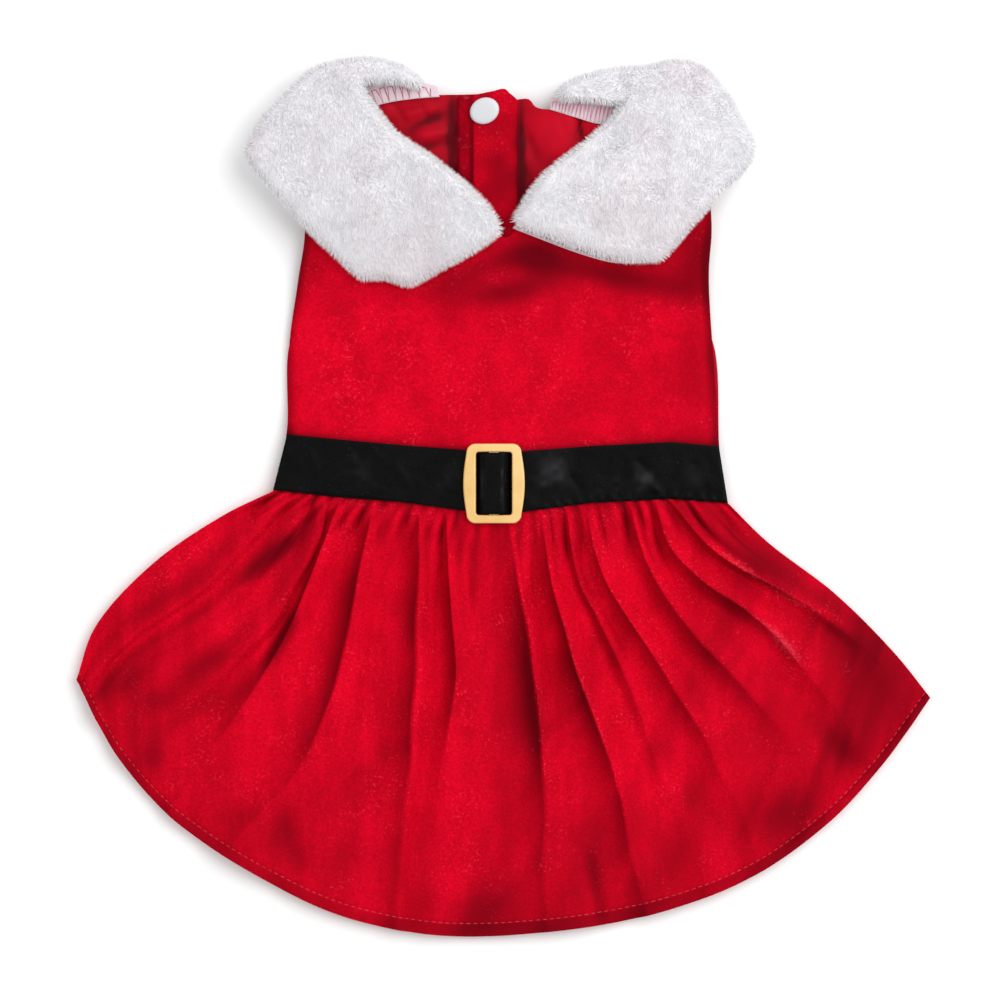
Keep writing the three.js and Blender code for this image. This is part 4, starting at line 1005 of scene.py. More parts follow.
def back_half(name, neck, side, is_left, finish):
    lap = LAP_RIGHT if is_left else LAP_LEFT
    foot = bodice_foot()
    foot_y = float(np.interp(lap, [p[0] for p in foot], [p[1] for p in foot]))
    top = neck[-1] if is_left else neck[0]
    lap_side = ((lap, foot_y), (lap, lerp(foot_y, top[1], 0.5)), top)
    if is_left:
        edges = ([p for p in foot if p[0] < lap - 4] + [(lap, foot_y)], neck, side, lap_side)
    else:
        edges = ([(lap, foot_y)] + [p for p in foot if p[0] > lap + 4], neck, lap_side, side)
    u, v = np.meshgrid(np.linspace(0, 1, 81), np.linspace(0, 1, 111))
    x, y = panel(*edges, u, v)
    low = lift_behind(x, y) + (lap_self_lift(x) if is_left else 0)
    open_part = plateau(y, 112, 120, 170, 171) * plateau(x, -60, -50, 40, 50)
    creases = crease_height(x, y, BACK_CREASES) + 0.25 * ripple(x, y, 6, 31)
    edge = smooth(u, 0, 0.04) * (1 - smooth(u, 0.96, 1))
    low_face, high_face = faces_of_wall(x, y, low, CLOTH_WALL)
    clear = (x < -19.5) | (x > 8.5)
    high_face = high_face + np.maximum(creases, -0.8) * open_part * edge * clear
    # Painted shade in the neck's grooves and the creases' troughs, painted light on their ridges, with a
    # faint uneven tone.
    shade = 0.3 + patch_shade(x, y, NECK_SHADOWS_AND_HIGHLIGHTS) - 0.35 * creases * open_part + 0.2 * ripple(x, y, 5, 32)
    # Painted light over the right half's puff.
    shade -= 0.25 * smooth(x, 4, 12)
    return grid_object(name, x, y, low_face, high_face, finish, {"shade": shade})


def placket(finish):
    u, v = np.meshgrid(np.linspace(0, 1, 41), np.linspace(0, 1, 91))
    x, top = path_at(PLACKET_TOP, u, even=False)
    y = lerp(PLACKET_FOOT, top, v)
    low = lift_behind(x, y) + lap_self_lift(x) + LAYER
    low_face, high_face = faces_of_wall(x, y, low, CLOTH_WALL)
    edge = smooth(x, -13.8, -12.2)
    rough = 0.35 * ripple(x, y, 1.1, 42) * (1 - edge) * np.sin(np.pi * np.clip(u * 5, 0, 1))
    soft = 0.3 * ripple(x, y, 9, 41) * smooth(v, 0.4, 0.6) * np.sin(np.pi * u)
    high_face = high_face + soft + rough + 0.5 * edge * smooth(6 - x, 0, 1.2)
    # Painted shade from the neck's patches, darker on the rough turned edge, with a faint uneven tone.
    shade = 0.28 + patch_shade(x, y, NECK_SHADOWS_AND_HIGHLIGHTS) + 0.3 * (1 - edge) + 0.15 * ripple(x, y, 7, 43)
    # Painted highlight specks on the rough turned edge.
    glint = 0.8 * (1 - edge) * smooth(ripple(x, y, 1.4, 44), 0.1, 0.7)
    return grid_object("closure_facing", x, y, low_face, high_face, finish, {"shade": shade, "glint": glint})


# Wrinkles pressed into the belt: from and to point, width, height.
BELT_WRINKLES = (
    ((14, 16), (24, 3), 4.2, 0.7),
    ((26, 10), (33, 1), 1.6, -0.4),
    ((36, 5), (46, 7), 1.8, 0.5),
    ((50, 12), (58, 2), 2.0, 0.9),
    ((54, 15), (60, 8), 1.5, -0.5),
    ((57, 8), (62, 2), 1.6, 0.7),
    ((70, 16), (76, 4), 3.0, 0.4),
    ((-26, 12), (-20, 2), 1.8, 0.5),
    ((-22, 16), (-18, 6), 1.6, 0.5),
    ((-44, 15), (-38, 4), 2.2, 0.35),
    ((-62, 18), (-56, 7), 2.4, 0.35),
    ((-78, 20), (-74, 9), 1.8, 0.3),
)
# Painted sheen on the belt's wrinkles and on the ribbon in the buckle's opening: middle, half sizes, turn in
# degrees, amount.
BELT_SHEEN = (
    ((19, 10), (6, 7), -50, 0.9),
    ((56, 7), (4, 6), -40, 0.7),
    ((42, 4), (7, 2), 10, 0.35),
    ((-23, 8), (3, 7), -30, 0.4),
    ((-58, 10), (9, 5), -30, 0.3),
    ((76, 8), (6, 6), -30, 0.3),
    ((-8.6, 6), (0.9, 11), 0, 0.5),
    ((-0.6, 6), (0.7, 11), 0, 0.7),
)


def ribbon_low(x):
    flat = belt_front_low(x)
    bar_top = belt_front_low(BUCKLE_X) + RIBBON_WALL + 2 * SEAM_GAP + BAR_THICK
    return lerp(bar_top, flat, smooth(np.abs(x - BUCKLE_X), BAR_HALF + 1.2, OPENING_HALF))


def belt_grid(columns, rows):
    """Grids of x and y over a run of the belt, and the share of the way from its lower to its upper edge."""
    u, v = np.meshgrid(columns, rows)
    left, right = (lerp(foot, top, v) for foot, top in zip(BELT_FOOT_ENDS, BELT_TOP_ENDS))
    x = lerp(left, right, u)
    return x, lerp(belt_edge(x, "foot"), belt_edge(x, "top"), v), v


def belt_front(finish):
    columns = np.unique(np.r_[np.linspace(0, 1, 241), np.linspace(0.41, 0.57, 81)])
    x, y, v = belt_grid(columns, np.linspace(0, 1, 33))
    away = 1 - plateau(x, -17, -13.5, 6, 9.5)
    low = ribbon_low(x)
    low_face, high_face = faces_of_wall(x, y, low, RIBBON_WALL)
    wrinkles = crease_height(x, y, BELT_WRINKLES) + 0.14 * ripple(x, y, 7, 51) + 0.1 * ripple(x, y, 3, 53)
    pucker = 0.3 * np.exp(-((v / 0.12) ** 2)) * np.sin(x * 1.3 + 3 * ripple(x, y, 9, 52)) * smooth(x, 10, 24)
    inside = smooth(v, 0, 0.08) * (1 - smooth(v, 0.92, 1))
    high_face = high_face + (wrinkles * away * inside + pucker * away * (v > 0))
    # Painted sheen, a little uneven.
    glint = patch_shade(x, y, BELT_SHEEN) * (0.75 + 0.5 * ripple(x, y, 2.4, 54))
    return grid_object("front_belt", x, y, low_face, high_face, finish, {"glint": glint})


def belt_back(finish):
    x, y, _ = belt_grid(np.linspace(0, 1, 121), np.linspace(0, 1, 13))
    low = np.zeros_like(x)
    return grid_object("rear_belt", x, y, low, low + RIBBON_WALL, finish)


# Section through a bar of the buckle: share of the way from the outer to the inner edge, share of
# the thickness.
BUCKLE_SECTION = (
    (0.0, 0.25),
    (0.0, 0.72),
    (0.03, 0.9),
    (0.1, 0.99),
    (0.2, 1.0),
    (0.8, 1.0),
    (0.9, 0.99),
    (0.97, 0.9),
    (1.0, 0.72),
    (1.0, 0.25),
    (0.94, 0.06),
    (0.8, 0.0),
    (0.2, 0.0),
    (0.06, 0.06),
)


def rounded_outline(half_top, half_middle, height, radius, steps=12):
    """Points round a frame whose sides swell towards the middle, a corner at a time."""
    points = []
    for sx, sy, start in ((1, 1, 0), (-1, 1, 90), (-1, -1, 180), (1, -1, 270)):
        centre = np.array([sx * (half_top - radius), sy * (height - radius)])
        for angle in np.radians(np.linspace(start, start + 90, steps)):
            points.append(centre + radius * np.array([math.cos(angle), math.sin(angle)]))
        if sy > 0 and sx < 0 or sy < 0 and sx > 0:
            a, b = points[-1], points[-1] * np.array([1, -1])
            for t in np.linspace(0, 1, steps + 2)[1:-1]:
                straight = lerp(a, b, t)
                swell = (half_middle - half_top) * math.sin(math.pi * t)
                points.append(straight + np.array([sx * swell, 0]))
        else:
            a, b = points[-1], points[-1] * np.array([-1, 1])
            points += [lerp(a, b, t) for t in np.linspace(0, 1, 6)[1:-1]]
    return np.array(points)


def buckle(finish):
    outer = rounded_outline(BUCKLE_CORNER, BUCKLE_MIDDLE, BUCKLE_HEIGHT, BUCKLE_ROUND)
    inner = rounded_outline(OPENING_HALF, OPENING_HALF, OPENING_HEIGHT, OPENING_ROUND)
    base = float(belt_front_low(BUCKLE_X)) + RIBBON_WALL + SEAM_GAP
    count, points = len(outer), []
    for share, height in BUCKLE_SECTION:
        ring = lerp(outer, inner, share)
        z = np.full((count, 1), base + BUCKLE_THICK * height)
        points.append(np.hstack([ring + (BUCKLE_X, BUCKLE_Y), z]))
    sections, faces = len(BUCKLE_SECTION), []
    for s in range(sections):
        for k in range(count):
            a, b = s * count + k, s * count + (k + 1) % count
            c, d = ((s + 1) % sections) * count + (k + 1) % count, ((s + 1) % sections) * count + k
            faces.append((a, b, c, d))
    mesh = bpy.data.meshes.new("slide_buckle")
    bar = []
    for z in (0.0, BAR_THICK):
        for px, py in ((-1, -1), (1, -1), (1, 1), (-1, 1)):
            bar.append((BUCKLE_X + px * BAR_HALF, BUCKLE_Y + py * (OPENING_HEIGHT + 1), base + z))
    n = sections * count
    quads = ((3, 2, 1, 0), (4, 5, 6, 7), (0, 1, 5, 4), (1, 2, 6, 5), (2, 3, 7, 6), (3, 0, 4, 7))
    faces += [tuple(n + k for k in quad) for quad in quads]
    mesh.from_pydata((np.vstack(points + [np.array(bar)]) * MM).tolist(), [], faces)
    return finished("slide_buckle", mesh, finish)


# Rings of the snap's cap from the top to the foot: share of the radius, share of the thickness.
SNAP_PROFILE = ((0.4, 0.99), (0.7, 0.95), (0.86, 0.88), (0.95, 0.72), (1.0, 0.45), (0.98, 0.1), (0.9, 0.0))


def snap_cap(name, low, turned, finish):
    """A shallow domed disc with a soft rim, a little oval as it leans."""
    sides, points, faces = 48, [], []
    c, s = math.cos(SNAP_TURN), math.sin(SNAP_TURN)
    for radius, height in SNAP_PROFILE:
        for k in range(sides):
            angle = 2 * math.pi * k / sides
            z = low + SNAP_THICK * (1 - height if turned else height)
            wide = SNAP_RADIUS * radius * math.cos(angle)
            tall = SNAP_OVAL * SNAP_RADIUS * radius * math.sin(angle)
            points.append((SNAP_X + c * wide - s * tall, SNAP_Y + s * wide + c * tall, z))
    rings = len(SNAP_PROFILE)
    for r in range(rings - 1):
        for k in range(sides):
            a, b = r * sides + k, r * sides + (k + 1) % sides
            faces.append((a, a + sides, b + sides, b))
    faces += [tuple(range(sides)), tuple((rings - 1) * sides + k for k in reversed(range(sides)))]
    if turned:
        faces = [face[::-1] for face in faces]
    mesh = bpy.data.meshes.new(name)
    mesh.from_pydata((np.array(points) * MM).tolist(), [], faces)
    return finished(name, mesh, finish)


# How far the skin under the pile keeps inside the collar's outline, and the strands of the pile.
PILE_REACH = 2.6
NECK_REACH, TIP_REACH = {"left": 4.8, "right": 3.6}, 0.6
STRAND_LENGTH, STRAND_WIDTH = 2.7, 0.22
STRANDS_PER_M2, STRAY_LEAN = 5.5e6, 0.3
SKIN_VOXEL = 1.3
# How strongly the pile swirls, how far its tufts lean, and the seed of its strands.
PILE_LAY = {"left": (0.3, 0.4, 7), "right": (0.8, 0.8, 17)}


def lapel_grids(collar, side, across, down):
    is_left = side == "left"
    u, v = np.meshgrid(np.linspace(0, 1, across), np.linspace(0, 1, down))
    neck = lerp(NECK_REACH[side], TIP_REACH, smooth(v, 0.6, 1))
    left, right = (PILE_REACH, neck) if is_left else (neck, PILE_REACH)
    u = lerp(left / LAPEL_ACROSS, 1 - right / LAPEL_ACROSS, u)
    v = lerp(PILE_REACH / LAPEL_DOWN, 1 - PILE_REACH / LAPEL_DOWN, v)
    sides = ("outer", "inner") if is_left else ("inner", "outer")
    x, y = panel(collar["fold"], collar["lower"], collar[sides[0]], collar[sides[1]], u, v)
    inside = np.minimum(LAPEL_ACROSS * np.minimum(u, 1 - u), LAPEL_DOWN * np.minimum(v, 1 - v))
    full = np.sin(np.pi / 2 * np.clip(inside / FUR_EDGE_ROUND, 0, 1))
    rest = front_low(x, y) + CLOTH_WALL + FUR_GAP
    low = rest + FUR_DEPTH * 0.3 * FUR_EDGE_SHARE * (1 - full)
    uneven = 0.8 * full * (ripple(x, y, 16, 61) + 0.4 * ripple(x, y, 7, 62))
    return x, y, low, rest + FUR_DEPTH * lerp(FUR_EDGE_SHARE, 1, full) * 0.82 + uneven


def rim_grids(collar):
    u, v = np.meshgrid(np.linspace(0.01, 0.99, 81), np.linspace(0.16, 1, 21))
    x, y = strip(collar["rim"], collar["rim_inside"], u, v)
    low = np.interp(v, (0, 0.14, 0.42, 1), (2.8, 0.9, 0.2, 0.2))
    high = np.interp(v, (0, 0.08, 0.2, 0.42, 1), (10.5, 13.0, 15.0, 16.2, 16.2))
    tuck = np.sin(np.pi / 2 * np.clip(12 * np.minimum(u, 1 - u), 0, 1))
    return x, y, low, lerp(FLAP_LIFT + LAYER + FUR_DEPTH * FUR_EDGE_SHARE, high, tuck)


def flap_grids(collar):
    u, v = np.meshgrid(np.linspace(0, 1, 61), np.linspace(0, 1, 41))
    x, y = strip(collar["flap"], collar["flap_foot"], u, v)
    near_edge = np.minimum(np.minimum(u, 1 - u) / 0.05, np.minimum(v, 1 - v) / 0.08)
    round_off = 1.8 * (1 - np.sin(np.pi / 2 * np.clip(near_edge, 0, 1)))
    return x, y, 0.2 + round_off, FLAP_DEPTH - 0.2 - round_off


def modified(name, source, kind, settings, finish):
    """A plain mesh of the source with one modifier's result."""
    change = source.modifiers.new("change", kind)
    for key, value in settings.items():
        setattr(change, key, value)
    mesh = bpy.data.meshes.new_from_object(source.evaluated_get(bpy.context.evaluated_depsgraph_get()))
    bpy.data.objects.remove(source)
    return finished(name, mesh, finish)


def joined_mesh(name, parts):
    points, faces, start = [], [], 0
    for part in parts:
        points += [v.co[:] for v in part.data.vertices]
        faces += [tuple(start + k for k in face.vertices) for face in part.data.polygons]
        start += len(part.data.vertices)
        bpy.data.objects.remove(part)
    mesh = bpy.data.meshes.new(name)
    mesh.from_pydata(points, [], faces)
    made = bpy.data.objects.new(name, mesh)
    bpy.context.scene.collection.objects.link(made)
    return made


def comb_fur(piece, curl):
    """Stores on the skin how the pile lies, how dense it is and how long: shorter above than at the edges."""
    mesh = piece.data
    count = len(mesh.vertices)
    points, normals = np.empty(count * 3), np.empty(count * 3)
    mesh.vertices.foreach_get("co", points)
    mesh.vertices.foreach_get("normal", normals)
    points, normals = points.reshape(-1, 3) / MM, normals.reshape(-1, 3)
    x, y, z = points.T
    swirl = np.stack([ripple(x, y, 9, 71), ripple(x, y, 9, 72), 0 * x], -1)
    swirl += 0.5 * np.stack([ripple(x, y, 4, 73), ripple(x, y, 4, 74), 0 * x], -1)
    flow = np.array([0.25, -0.55, 0]) + curl * swirl
    flow -= normals * (flow * normals).sum(1, keepdims=True)
    side = smooth(1 - normals[:, 2], 0.12, 0.7)[:, None]
    outward = normals * np.array([1, 1, 0.1])
    comb = lerp(flow + 0.55 * normals, outward + 0.45 * flow, side)
    comb /= np.linalg.norm(comb, axis=1, keepdims=True) + 1e-6
    under = z < 3.2
    comb[:, 2] = np.where(under, np.maximum(comb[:, 2], 0.5), comb[:, 2])
    slot_top = front_low(x, y) + CLOTH_WALL + FUR_GAP + 1.2
    in_slot = (z > 3.4) & (z < slot_top) & (np.abs(normals[:, 2]) > 0.5)
    mesh.attributes.new("comb", "FLOAT_VECTOR", "POINT").data.foreach_set("vector", comb.ravel())
    hidden = (normals[:, 2] < -0.3) | under
    dense = np.where(in_slot | (under & (normals[:, 2] < -0.5)), 0.0, np.where(hidden, 0.1, 1.0))
    mesh.attributes.new("pile", "FLOAT", "POINT").data.foreach_set("value", dense)
    long = lerp(0.66, 1.0, side[:, 0])
    mesh.attributes.new("long", "FLOAT", "POINT").data.foreach_set("value", long)


class Tree:
    """A geometry tree with named inputs."""

    def __init__(self, name):
        self.group = bpy.data.node_groups.new(name, "GeometryNodeTree")
        self.sizes = {}
        self.group.interface.new_socket("Geometry", in_out="INPUT", socket_type="NodeSocketGeometry")
        self.group.interface.new_socket("Geometry", in_out="OUTPUT", socket_type="NodeSocketGeometry")
        self.start = self.group.nodes.new("NodeGroupInput")
        self.end = self.group.nodes.new("NodeGroupOutput")

    def size(self, name, value, whole=False):
        kind = "NodeSocketInt" if whole else "NodeSocketFloat"
        made = self.group.interface.new_socket(name, in_out="INPUT", socket_type=kind)
        self.sizes[made.identifier] = value
        return self.start.outputs[name]

    def geometry(self):
        return self.start.outputs["Geometry"]

    def node(self, kind, settings=None, sockets=None):
        made = self.group.nodes.new(kind)
        for key, value in (settings or {}).items():
            setattr(made, key, value)
        for key, value in (sockets or {}).items():
            target = made.inputs[key]
            if isinstance(value, bpy.types.NodeSocket):
                self.group.links.new(value, target)
            else:
                target.default_value = value
        return made

    def maths(self, operation, first, second):
        return self.node("ShaderNodeMath", {"operation": operation}, {0: first, 1: second}).outputs[0]

    def stored(self, name, kind="FLOAT"):
        """A value stored on the points that the strands grow from."""
        settings = {"data_type": kind}
        return self.node("GeometryNodeInputNamedAttribute", settings, {"Name": name}).outputs[0]

    def chance(self, kind, sockets):
        return self.node("FunctionNodeRandomValue", {"data_type": kind}, sockets)

    def vectors(self, operation, sockets):
        return self.node("ShaderNodeVectorMath", {"operation": operation}, sockets).outputs[0]

    def result(self, name, source, shape, finish):
        """Realizes the shape, gives it its material and returns it as a plain object."""
        real = self.node("GeometryNodeRealizeInstances", None, {"Geometry": shape})
        sockets = {"Geometry": real.outputs[0], "Material": finish}
        dressed = self.node("GeometryNodeSetMaterial", None, sockets)
        self.group.links.new(dressed.outputs[0], self.end.inputs[0])
        change = source.modifiers.new("growth", "NODES")
        change.node_group = self.group
        for identifier, value in self.sizes.items():
            change[identifier] = value
        mesh = bpy.data.meshes.new_from_object(source.evaluated_get(bpy.context.evaluated_depsgraph_get()))
        source.modifiers.remove(change)
        return finished(name, mesh, finish)


def grow_fur(name, skin, strands, tousle, seed, finish):
    """Strands of pile over the skin, each a tapering blade of three sides."""
    tree = Tree(name)
    density = tree.size("strands per square metre", float(strands))
    length = tree.size("strand length", STRAND_LENGTH * MM)
    width = tree.size("strand half width", STRAND_WIDTH * MM)
    tuft = tree.size("tuft lean", tousle)
    stray = tree.size("stray lean", STRAY_LEAN)
    pile, comb, long = tree.stored("pile"), tree.stored("comb", "FLOAT_VECTOR"), tree.stored("long")
    spread = tree.node(
        "GeometryNodeDistributePointsOnFaces",
        {"distribute_method": "RANDOM"},
        {"Mesh": tree.geometry(), "Density": tree.maths("MULTIPLY", density, pile), "Seed": seed},
    )
    clump = tree.node("ShaderNodeTexNoise", None, {"Scale": 330.0, "Detail": 2.0}).outputs[1]
    clump = tree.vectors("SUBTRACT", {0: clump, 1: (0.5, 0.5, 0.5)})
    clump = tree.vectors("SCALE", {0: clump, "Scale": tuft})
    low, high = (-1.0, -1.0, -1.0), (1.0, 1.0, 1.0)
    loose = tree.chance("FLOAT_VECTOR", {0: low, 1: high, "Seed": seed + 1})
    loose = tree.vectors("SCALE", {0: loose.outputs[0], "Scale": stray})
    aim = tree.vectors("ADD", {0: comb, 1: clump})
    aim = tree.vectors("ADD", {0: aim, 1: loose})
    turn = tree.node("FunctionNodeAlignRotationToVector", {"axis": "Z"}, {"Vector": aim})
    twist = tree.chance("FLOAT", {2: 0.0, 3: 6.28, "Seed": seed + 2})
    sockets = {"Axis": (0, 0, 1), "Angle": twist.outputs[1]}
    around = tree.node("FunctionNodeAxisAngleToRotation", None, sockets)
    turn = tree.node(
        "FunctionNodeRotateRotation",
        {"rotation_space": "LOCAL"},
        {"Rotation": turn.outputs[0], "Rotate By": around.outputs[0]},
    )
    blade = tree.node(
        "GeometryNodeMeshCone",
        {"fill_type": "NONE"},
        {"Vertices": 3, "Side Segments": 1, "Radius Top": 0.0, "Radius Bottom": width, "Depth": length},
    )
    scale = tree.chance("FLOAT", {2: 0.55, 3: 1.15, "Seed": seed + 3})
    strewn = tree.node(
        "GeometryNodeInstanceOnPoints",
        None,
        {
            "Points": spread.outputs[0],
            "Instance": blade.outputs[0],
            "Rotation": turn.outputs[0],
            "Scale": tree.maths("MULTIPLY", scale.outputs[1], long),
        },
    )
    return tree.result(name, skin, strewn.outputs[0], finish)


def path_object(name, x, y, z):
    """A poly curve through points in millimetres."""
    data = bpy.data.curves.new(name, "CURVE")
    data.dimensions = "3D"
    spline = data.splines.new("POLY")
    spline.points.add(len(x) - 1)
    points = np.stack([x, y, z, np.full(len(x), 1 / MM)], -1) * MM
    spline.points.foreach_set("co", points.ravel())
    made = bpy.data.objects.new(name, data)
    bpy.context.scene.collection.objects.link(made)
    return made


def sew(name, x, y, z, finish, pitch=2.8, length=1.9, thick=0.19):
    """A row of sunk stitches along a path."""
    path = path_object(name + "_path", x, y, z)
    tree = Tree(name)
    pitch = tree.size("stitch pitch", pitch * MM)
    half = tree.size("stitch half length", length / 2 * MM)
    thick = tree.size("thread radius", thick * MM)
    sockets = {"Curve": tree.geometry(), "Length": pitch}
    spaced = tree.node("GeometryNodeResampleCurve", {"mode": "LENGTH"}, sockets)
    dots = tree.node("GeometryNodeCurveToPoints", {"mode": "EVALUATED"}, {"Curve": spaced.outputs[0]})
    ball = tree.node("GeometryNodeMeshUVSphere", None, {"Segments": 6, "Rings": 5, "Radius": 1.0})
    size = tree.node("ShaderNodeCombineXYZ", None, {0: thick, 1: thick, 2: half})
    row = tree.node(
        "GeometryNodeInstanceOnPoints",
        None,
        {
            "Points": dots.outputs["Points"],
            "Instance": ball.outputs[0],
            "Rotation": dots.outputs["Rotation"],
            "Scale": size.outputs[0],
        },
    )
    made = tree.result(name, path, row.outputs[0], finish)
    bpy.data.objects.remove(path)
    return made


def run_thread(name, x, y, z, finish, radius=0.2):
    """One thread that follows a path, such as the loops of an overlocked edge."""
    path = path_object(name + "_path", x, y, z)
    tree = Tree(name)
    radius = tree.size("thread radius", radius * MM)
    round_section = tree.node("GeometryNodeCurvePrimitiveCircle", None, {"Resolution": 5, "Radius": radius})
    tube = tree.node(
        "GeometryNodeCurveToMesh",
        None,
        {"Curve": tree.geometry(), "Profile Curve": round_section.outputs[0], "Fill Caps": True},
    )
    made = tree.result(name, path, tube.outputs[0], finish)
    bpy.data.objects.remove(path)
    return made


def overlock(name, collar, finish):
    """Stitches over the cut edge of a seam allowance, joined by a line along its upper side."""
    steps, shares = collar["overlock"], (0.0, 0.12, 0.3, 0.42)
    k = np.arange(steps * 4)
    u = (k // 4 + np.take(shares, k % 4)) / steps
    v = np.where(k % 4 == 2, 0.97, np.where(k % 4 == 1, 0.55, 0.32))
    x, y = strip(collar["allowance"], collar["allowance_foot"], u * 0.97 + 0.015, v)
    x = x + 0.3 * ripple(x, y, 2, 81)
    z = lift_behind(x, y) + LAYER + CLOTH_WALL + 0.14
    return run_thread(name, x, y, z, finish, 0.17)


def seam_allowance(name, collar, finish):
    u, v = np.meshgrid(np.linspace(0, 1, 61), np.linspace(0, 1, 21))
    x, y = strip(collar["allowance"], collar["allowance_foot"], u, v)
    low = lift_behind(x, y) + LAYER
    low_face, high_face = faces_of_wall(x, y, low, CLOTH_WALL)
    return grid_object(name, x, y, low_face, high_face + 0.15 * ripple(x, y, 3, 83), finish)


def collar_side(side, skin_finish, pile_finish, backing_finish, thread_finish):
    collar = COLLAR[side]
    parts = [
        grid_object("lapel", *lapel_grids(collar, side, 121, 91), skin_finish),
        grid_object("rim", *rim_grids(collar), skin_finish),
        grid_object("flap", *flap_grids(collar), skin_finish),
    ]
    body = joined_mesh("collar_form", parts)
    remesh = {"mode": "VOXEL", "voxel_size": SKIN_VOXEL * MM}
    skin = modified(side + "_collar", body, "REMESH", remesh, skin_finish)
    curl, tousle, seed = PILE_LAY[side]
    comb_fur(skin, curl)
    pile = grow_fur(side + "_collar_pile", skin, STRANDS_PER_M2, tousle, seed, pile_finish)
    allowance = seam_allowance(side + "_collar_allowance", collar, backing_finish)
    loops = overlock(side + "_collar_overlock", collar, thread_finish)
    node = "collar_" + side
    pieces = [pile, allowance, loops]
    if side == "right":
        x, y = path_at(collar["lower"], np.linspace(0.02, 0.9, 60))
        z = front_low(x, y) + CLOTH_WALL + FUR_GAP + 0.8
        pieces.append(run_thread("right_collar_edge", x, y + 1.0, z, backing_finish, 0.6))
    for piece in pieces:
        mark(piece, [node])
    mark(skin, [node])


# Velvet reds: the pile's dark and bright tones, a painted shadow red for shaded folds and a painted highlight
# red for specks.
RED = {
    "shadow_red": (0.13, 0.0, 0.004, 1),
    "dark": (0.44, 0.0, 0.009, 1),
    "bright": (0.7, 0.001, 0.018, 1),
    "highlight_red": (0.88, 0.07, 0.12, 1),
}
skirt_velvet = velvet("skirt_velvet", RED, (1.0, 0.22, 1.0), 0.35)
bodice_velvet = velvet("bodice_velvet", RED, (0.8, 0.35, 1.0), 0.65)
facing_velvet = velvet("facing_velvet", RED, (1, 0.4, 1), 0.6)
velvet_back = woven_back("velvet_back", (0.09, 0.0, 0.004, 1), (0.32, 0.0, 0.008, 1), (0.5, 0.001, 0.014, 1))
black_satin = satin_ribbon("black_satin")
fur_skin = fur("fur_skin", (0.76, 0.75, 0.78, 1), (0.84, 0.83, 0.85, 1), (0.8, 0.73, 0.77, 1))
fur_pile = fur("fur_pile", (0.81, 0.805, 0.825, 1), (0.86, 0.85, 0.87, 1), (0.82, 0.76, 0.79, 1))
fur_backing = knit_backing("fur_backing")
hem_thread = thread("hem_thread", (0.5, 0.008, 0.025, 1), (0.7, 0.045, 0.08, 1))
overlock_thread = thread("overlock_thread", (0.4, 0.01, 0.08, 1), (0.62, 0.06, 0.18, 1))
pink_thread = thread("pink_thread", (0.7, 0.16, 0.28, 1), (0.8, 0.4, 0.5, 1))
pale_gold = moulded("pale_gold", (0.7, 0.43, 0.14, 1), (0.8, 0.53, 0.2, 1), 0.3, 0.2)
white_cap = moulded("white_cap", (0.57, 0.58, 0.6, 1), (0.6, 0.61, 0.64, 1), 0.35, 0.1)

skirt, front_hem = skirt_front(skirt_velvet)
mark(skirt, ["skirt_front"])
rear, rear_hem = skirt_back(skirt_velvet)
mark(rear, ["skirt_back"])
bodice = bodice_front(bodice_velvet)
mark(bodice, ["bodice_front"])
left_half = back_half("left_back_half", BACK_NECK_LEFT, BACK_LEFT_SIDE, True, velvet_back)
mark(left_half, ["back_left"])
right_half = back_half("right_back_half", BACK_NECK_RIGHT, BACK_RIGHT_SIDE, False, velvet_back)
mark(right_half, ["back_right"])
facing = placket(facing_velvet)
mark(facing, ["placket"])
belt = belt_front(black_satin)
mark(belt, ["belt_front"])
rear_ribbon = belt_back(black_satin)
mark(rear_ribbon, ["belt_back"])
mark(buckle(pale_gold), ["buckle"])
halves_low = float(lift_behind(SNAP_X, SNAP_Y))
inner_cap = snap_cap("inner_snap_cap", halves_low + 3 * LAYER + SEAM_GAP, False, white_cap)
mark(inner_cap, ["snap_cap"])
outer_cap = snap_cap("outer_snap_cap", halves_low - SEAM_GAP - SNAP_THICK, True, white_cap)
mark(outer_cap, ["snap_cap_outer"])
for side, loops_finish in (("left", overlock_thread), ("right", pink_thread)):
    collar_side(side, fur_skin, fur_pile, fur_backing, loops_finish)

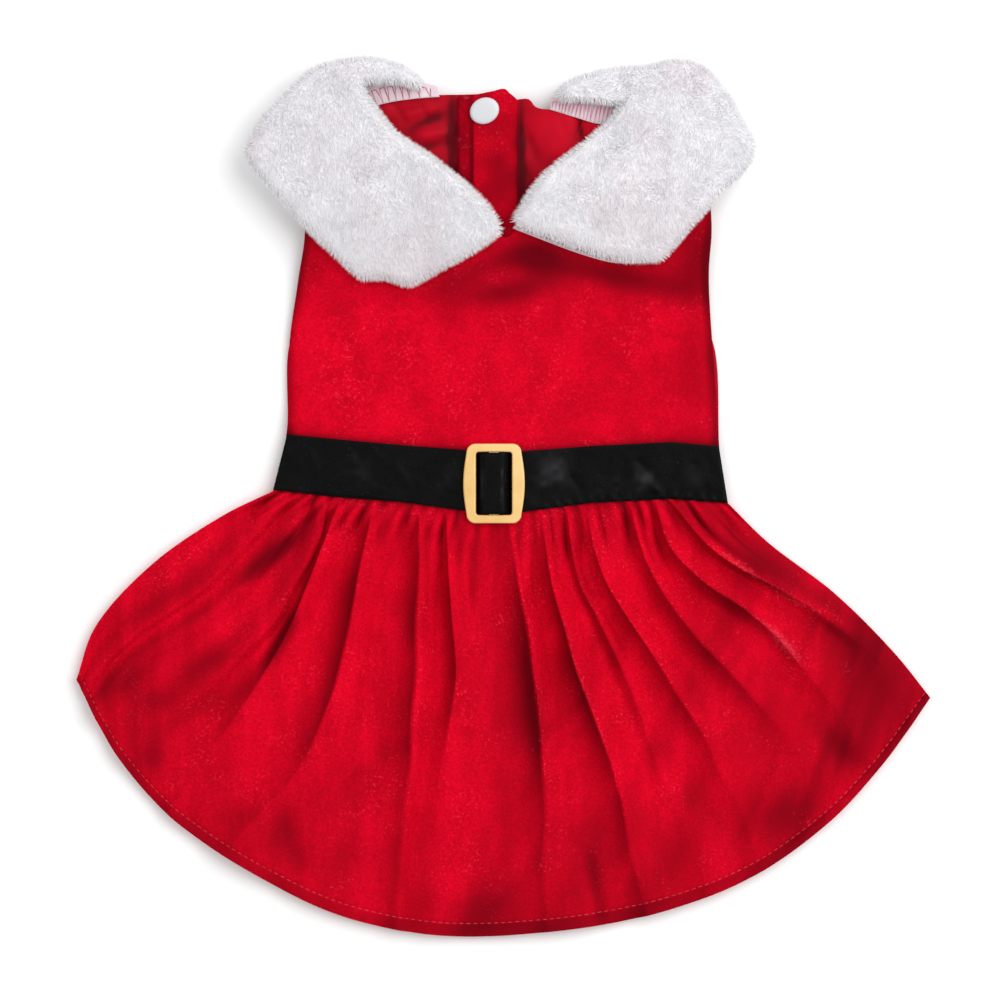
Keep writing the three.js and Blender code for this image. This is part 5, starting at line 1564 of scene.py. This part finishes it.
for name, line, above in (("front_hem_stitches", front_hem, 0.1), ("rear_hem_stitches", rear_hem, 0.05)):
    hem_x, hem_y, hem_z = (values[4:-4] for values in line)
    mark(sew(name, hem_x, hem_y, hem_z + above, hem_thread))

FLOOR_HALF, FLOOR_Z = 3, -0.0004
turns = ((-1, -1), (1, -1), (1, 1), (-1, 1))
floor_corners = [(sx * FLOOR_HALF, sy * FLOOR_HALF, FLOOR_Z) for sx, sy in turns]
floor_mesh = bpy.data.meshes.new("floor")
floor_mesh.from_pydata(floor_corners, [], [(0, 1, 2, 3)])
floor_finish = Finish("floor_white", Roughness=0.9, Specular_IOR_Level=0.1)
shade = floor_finish.noise(floor_finish.place(), 3.0)
floor_finish.set(Base_Color=floor_finish.blend(shade, (0.93, 0.93, 0.93, 1), (0.95, 0.95, 0.95, 1)))
finished("floor", floor_mesh, floor_finish.material)


def area_light(name, place, size, power):
    data = bpy.data.lights.new(name, "AREA")
    data.shape, data.size, data.energy = "DISK", size, power
    light = bpy.data.objects.new(name, data)
    bpy.context.scene.collection.objects.link(light)
    light.location = place
    aim = -np.array(place)
    light.rotation_euler = (
        math.acos(-aim[2] / np.linalg.norm(aim)),
        0,
        math.atan2(aim[1], aim[0]) + math.pi * 1.5,
    )


area_light("key", (1.2, 0.7, 1.6), 2.2, 34)
area_light("fill", (-1.0, 0.2, 2.0), 2.0, 8)
world = bpy.data.worlds.new("studio")
world.use_nodes = True
world.node_tree.nodes["Background"].inputs["Color"].default_value = (1, 1, 1, 1)
world.node_tree.nodes["Background"].inputs["Strength"].default_value = 0.68
bpy.context.scene.world = world
bpy.context.scene.view_settings.view_transform = "Standard"

# Straight above, 0.4 mm to a pixel of the 1000 pixel frame.
camera_data = bpy.data.cameras.new("camera")
camera_data.lens, camera_data.sensor_width = 180, 36
camera_data.clip_end = 10
camera = bpy.data.objects.new("camera", camera_data)
camera.location = (-0.0014, -0.0008, 2.006)
bpy.context.scene.collection.objects.link(camera)
bpy.context.scene.camera = camera

bpy.context.view_layer.update()
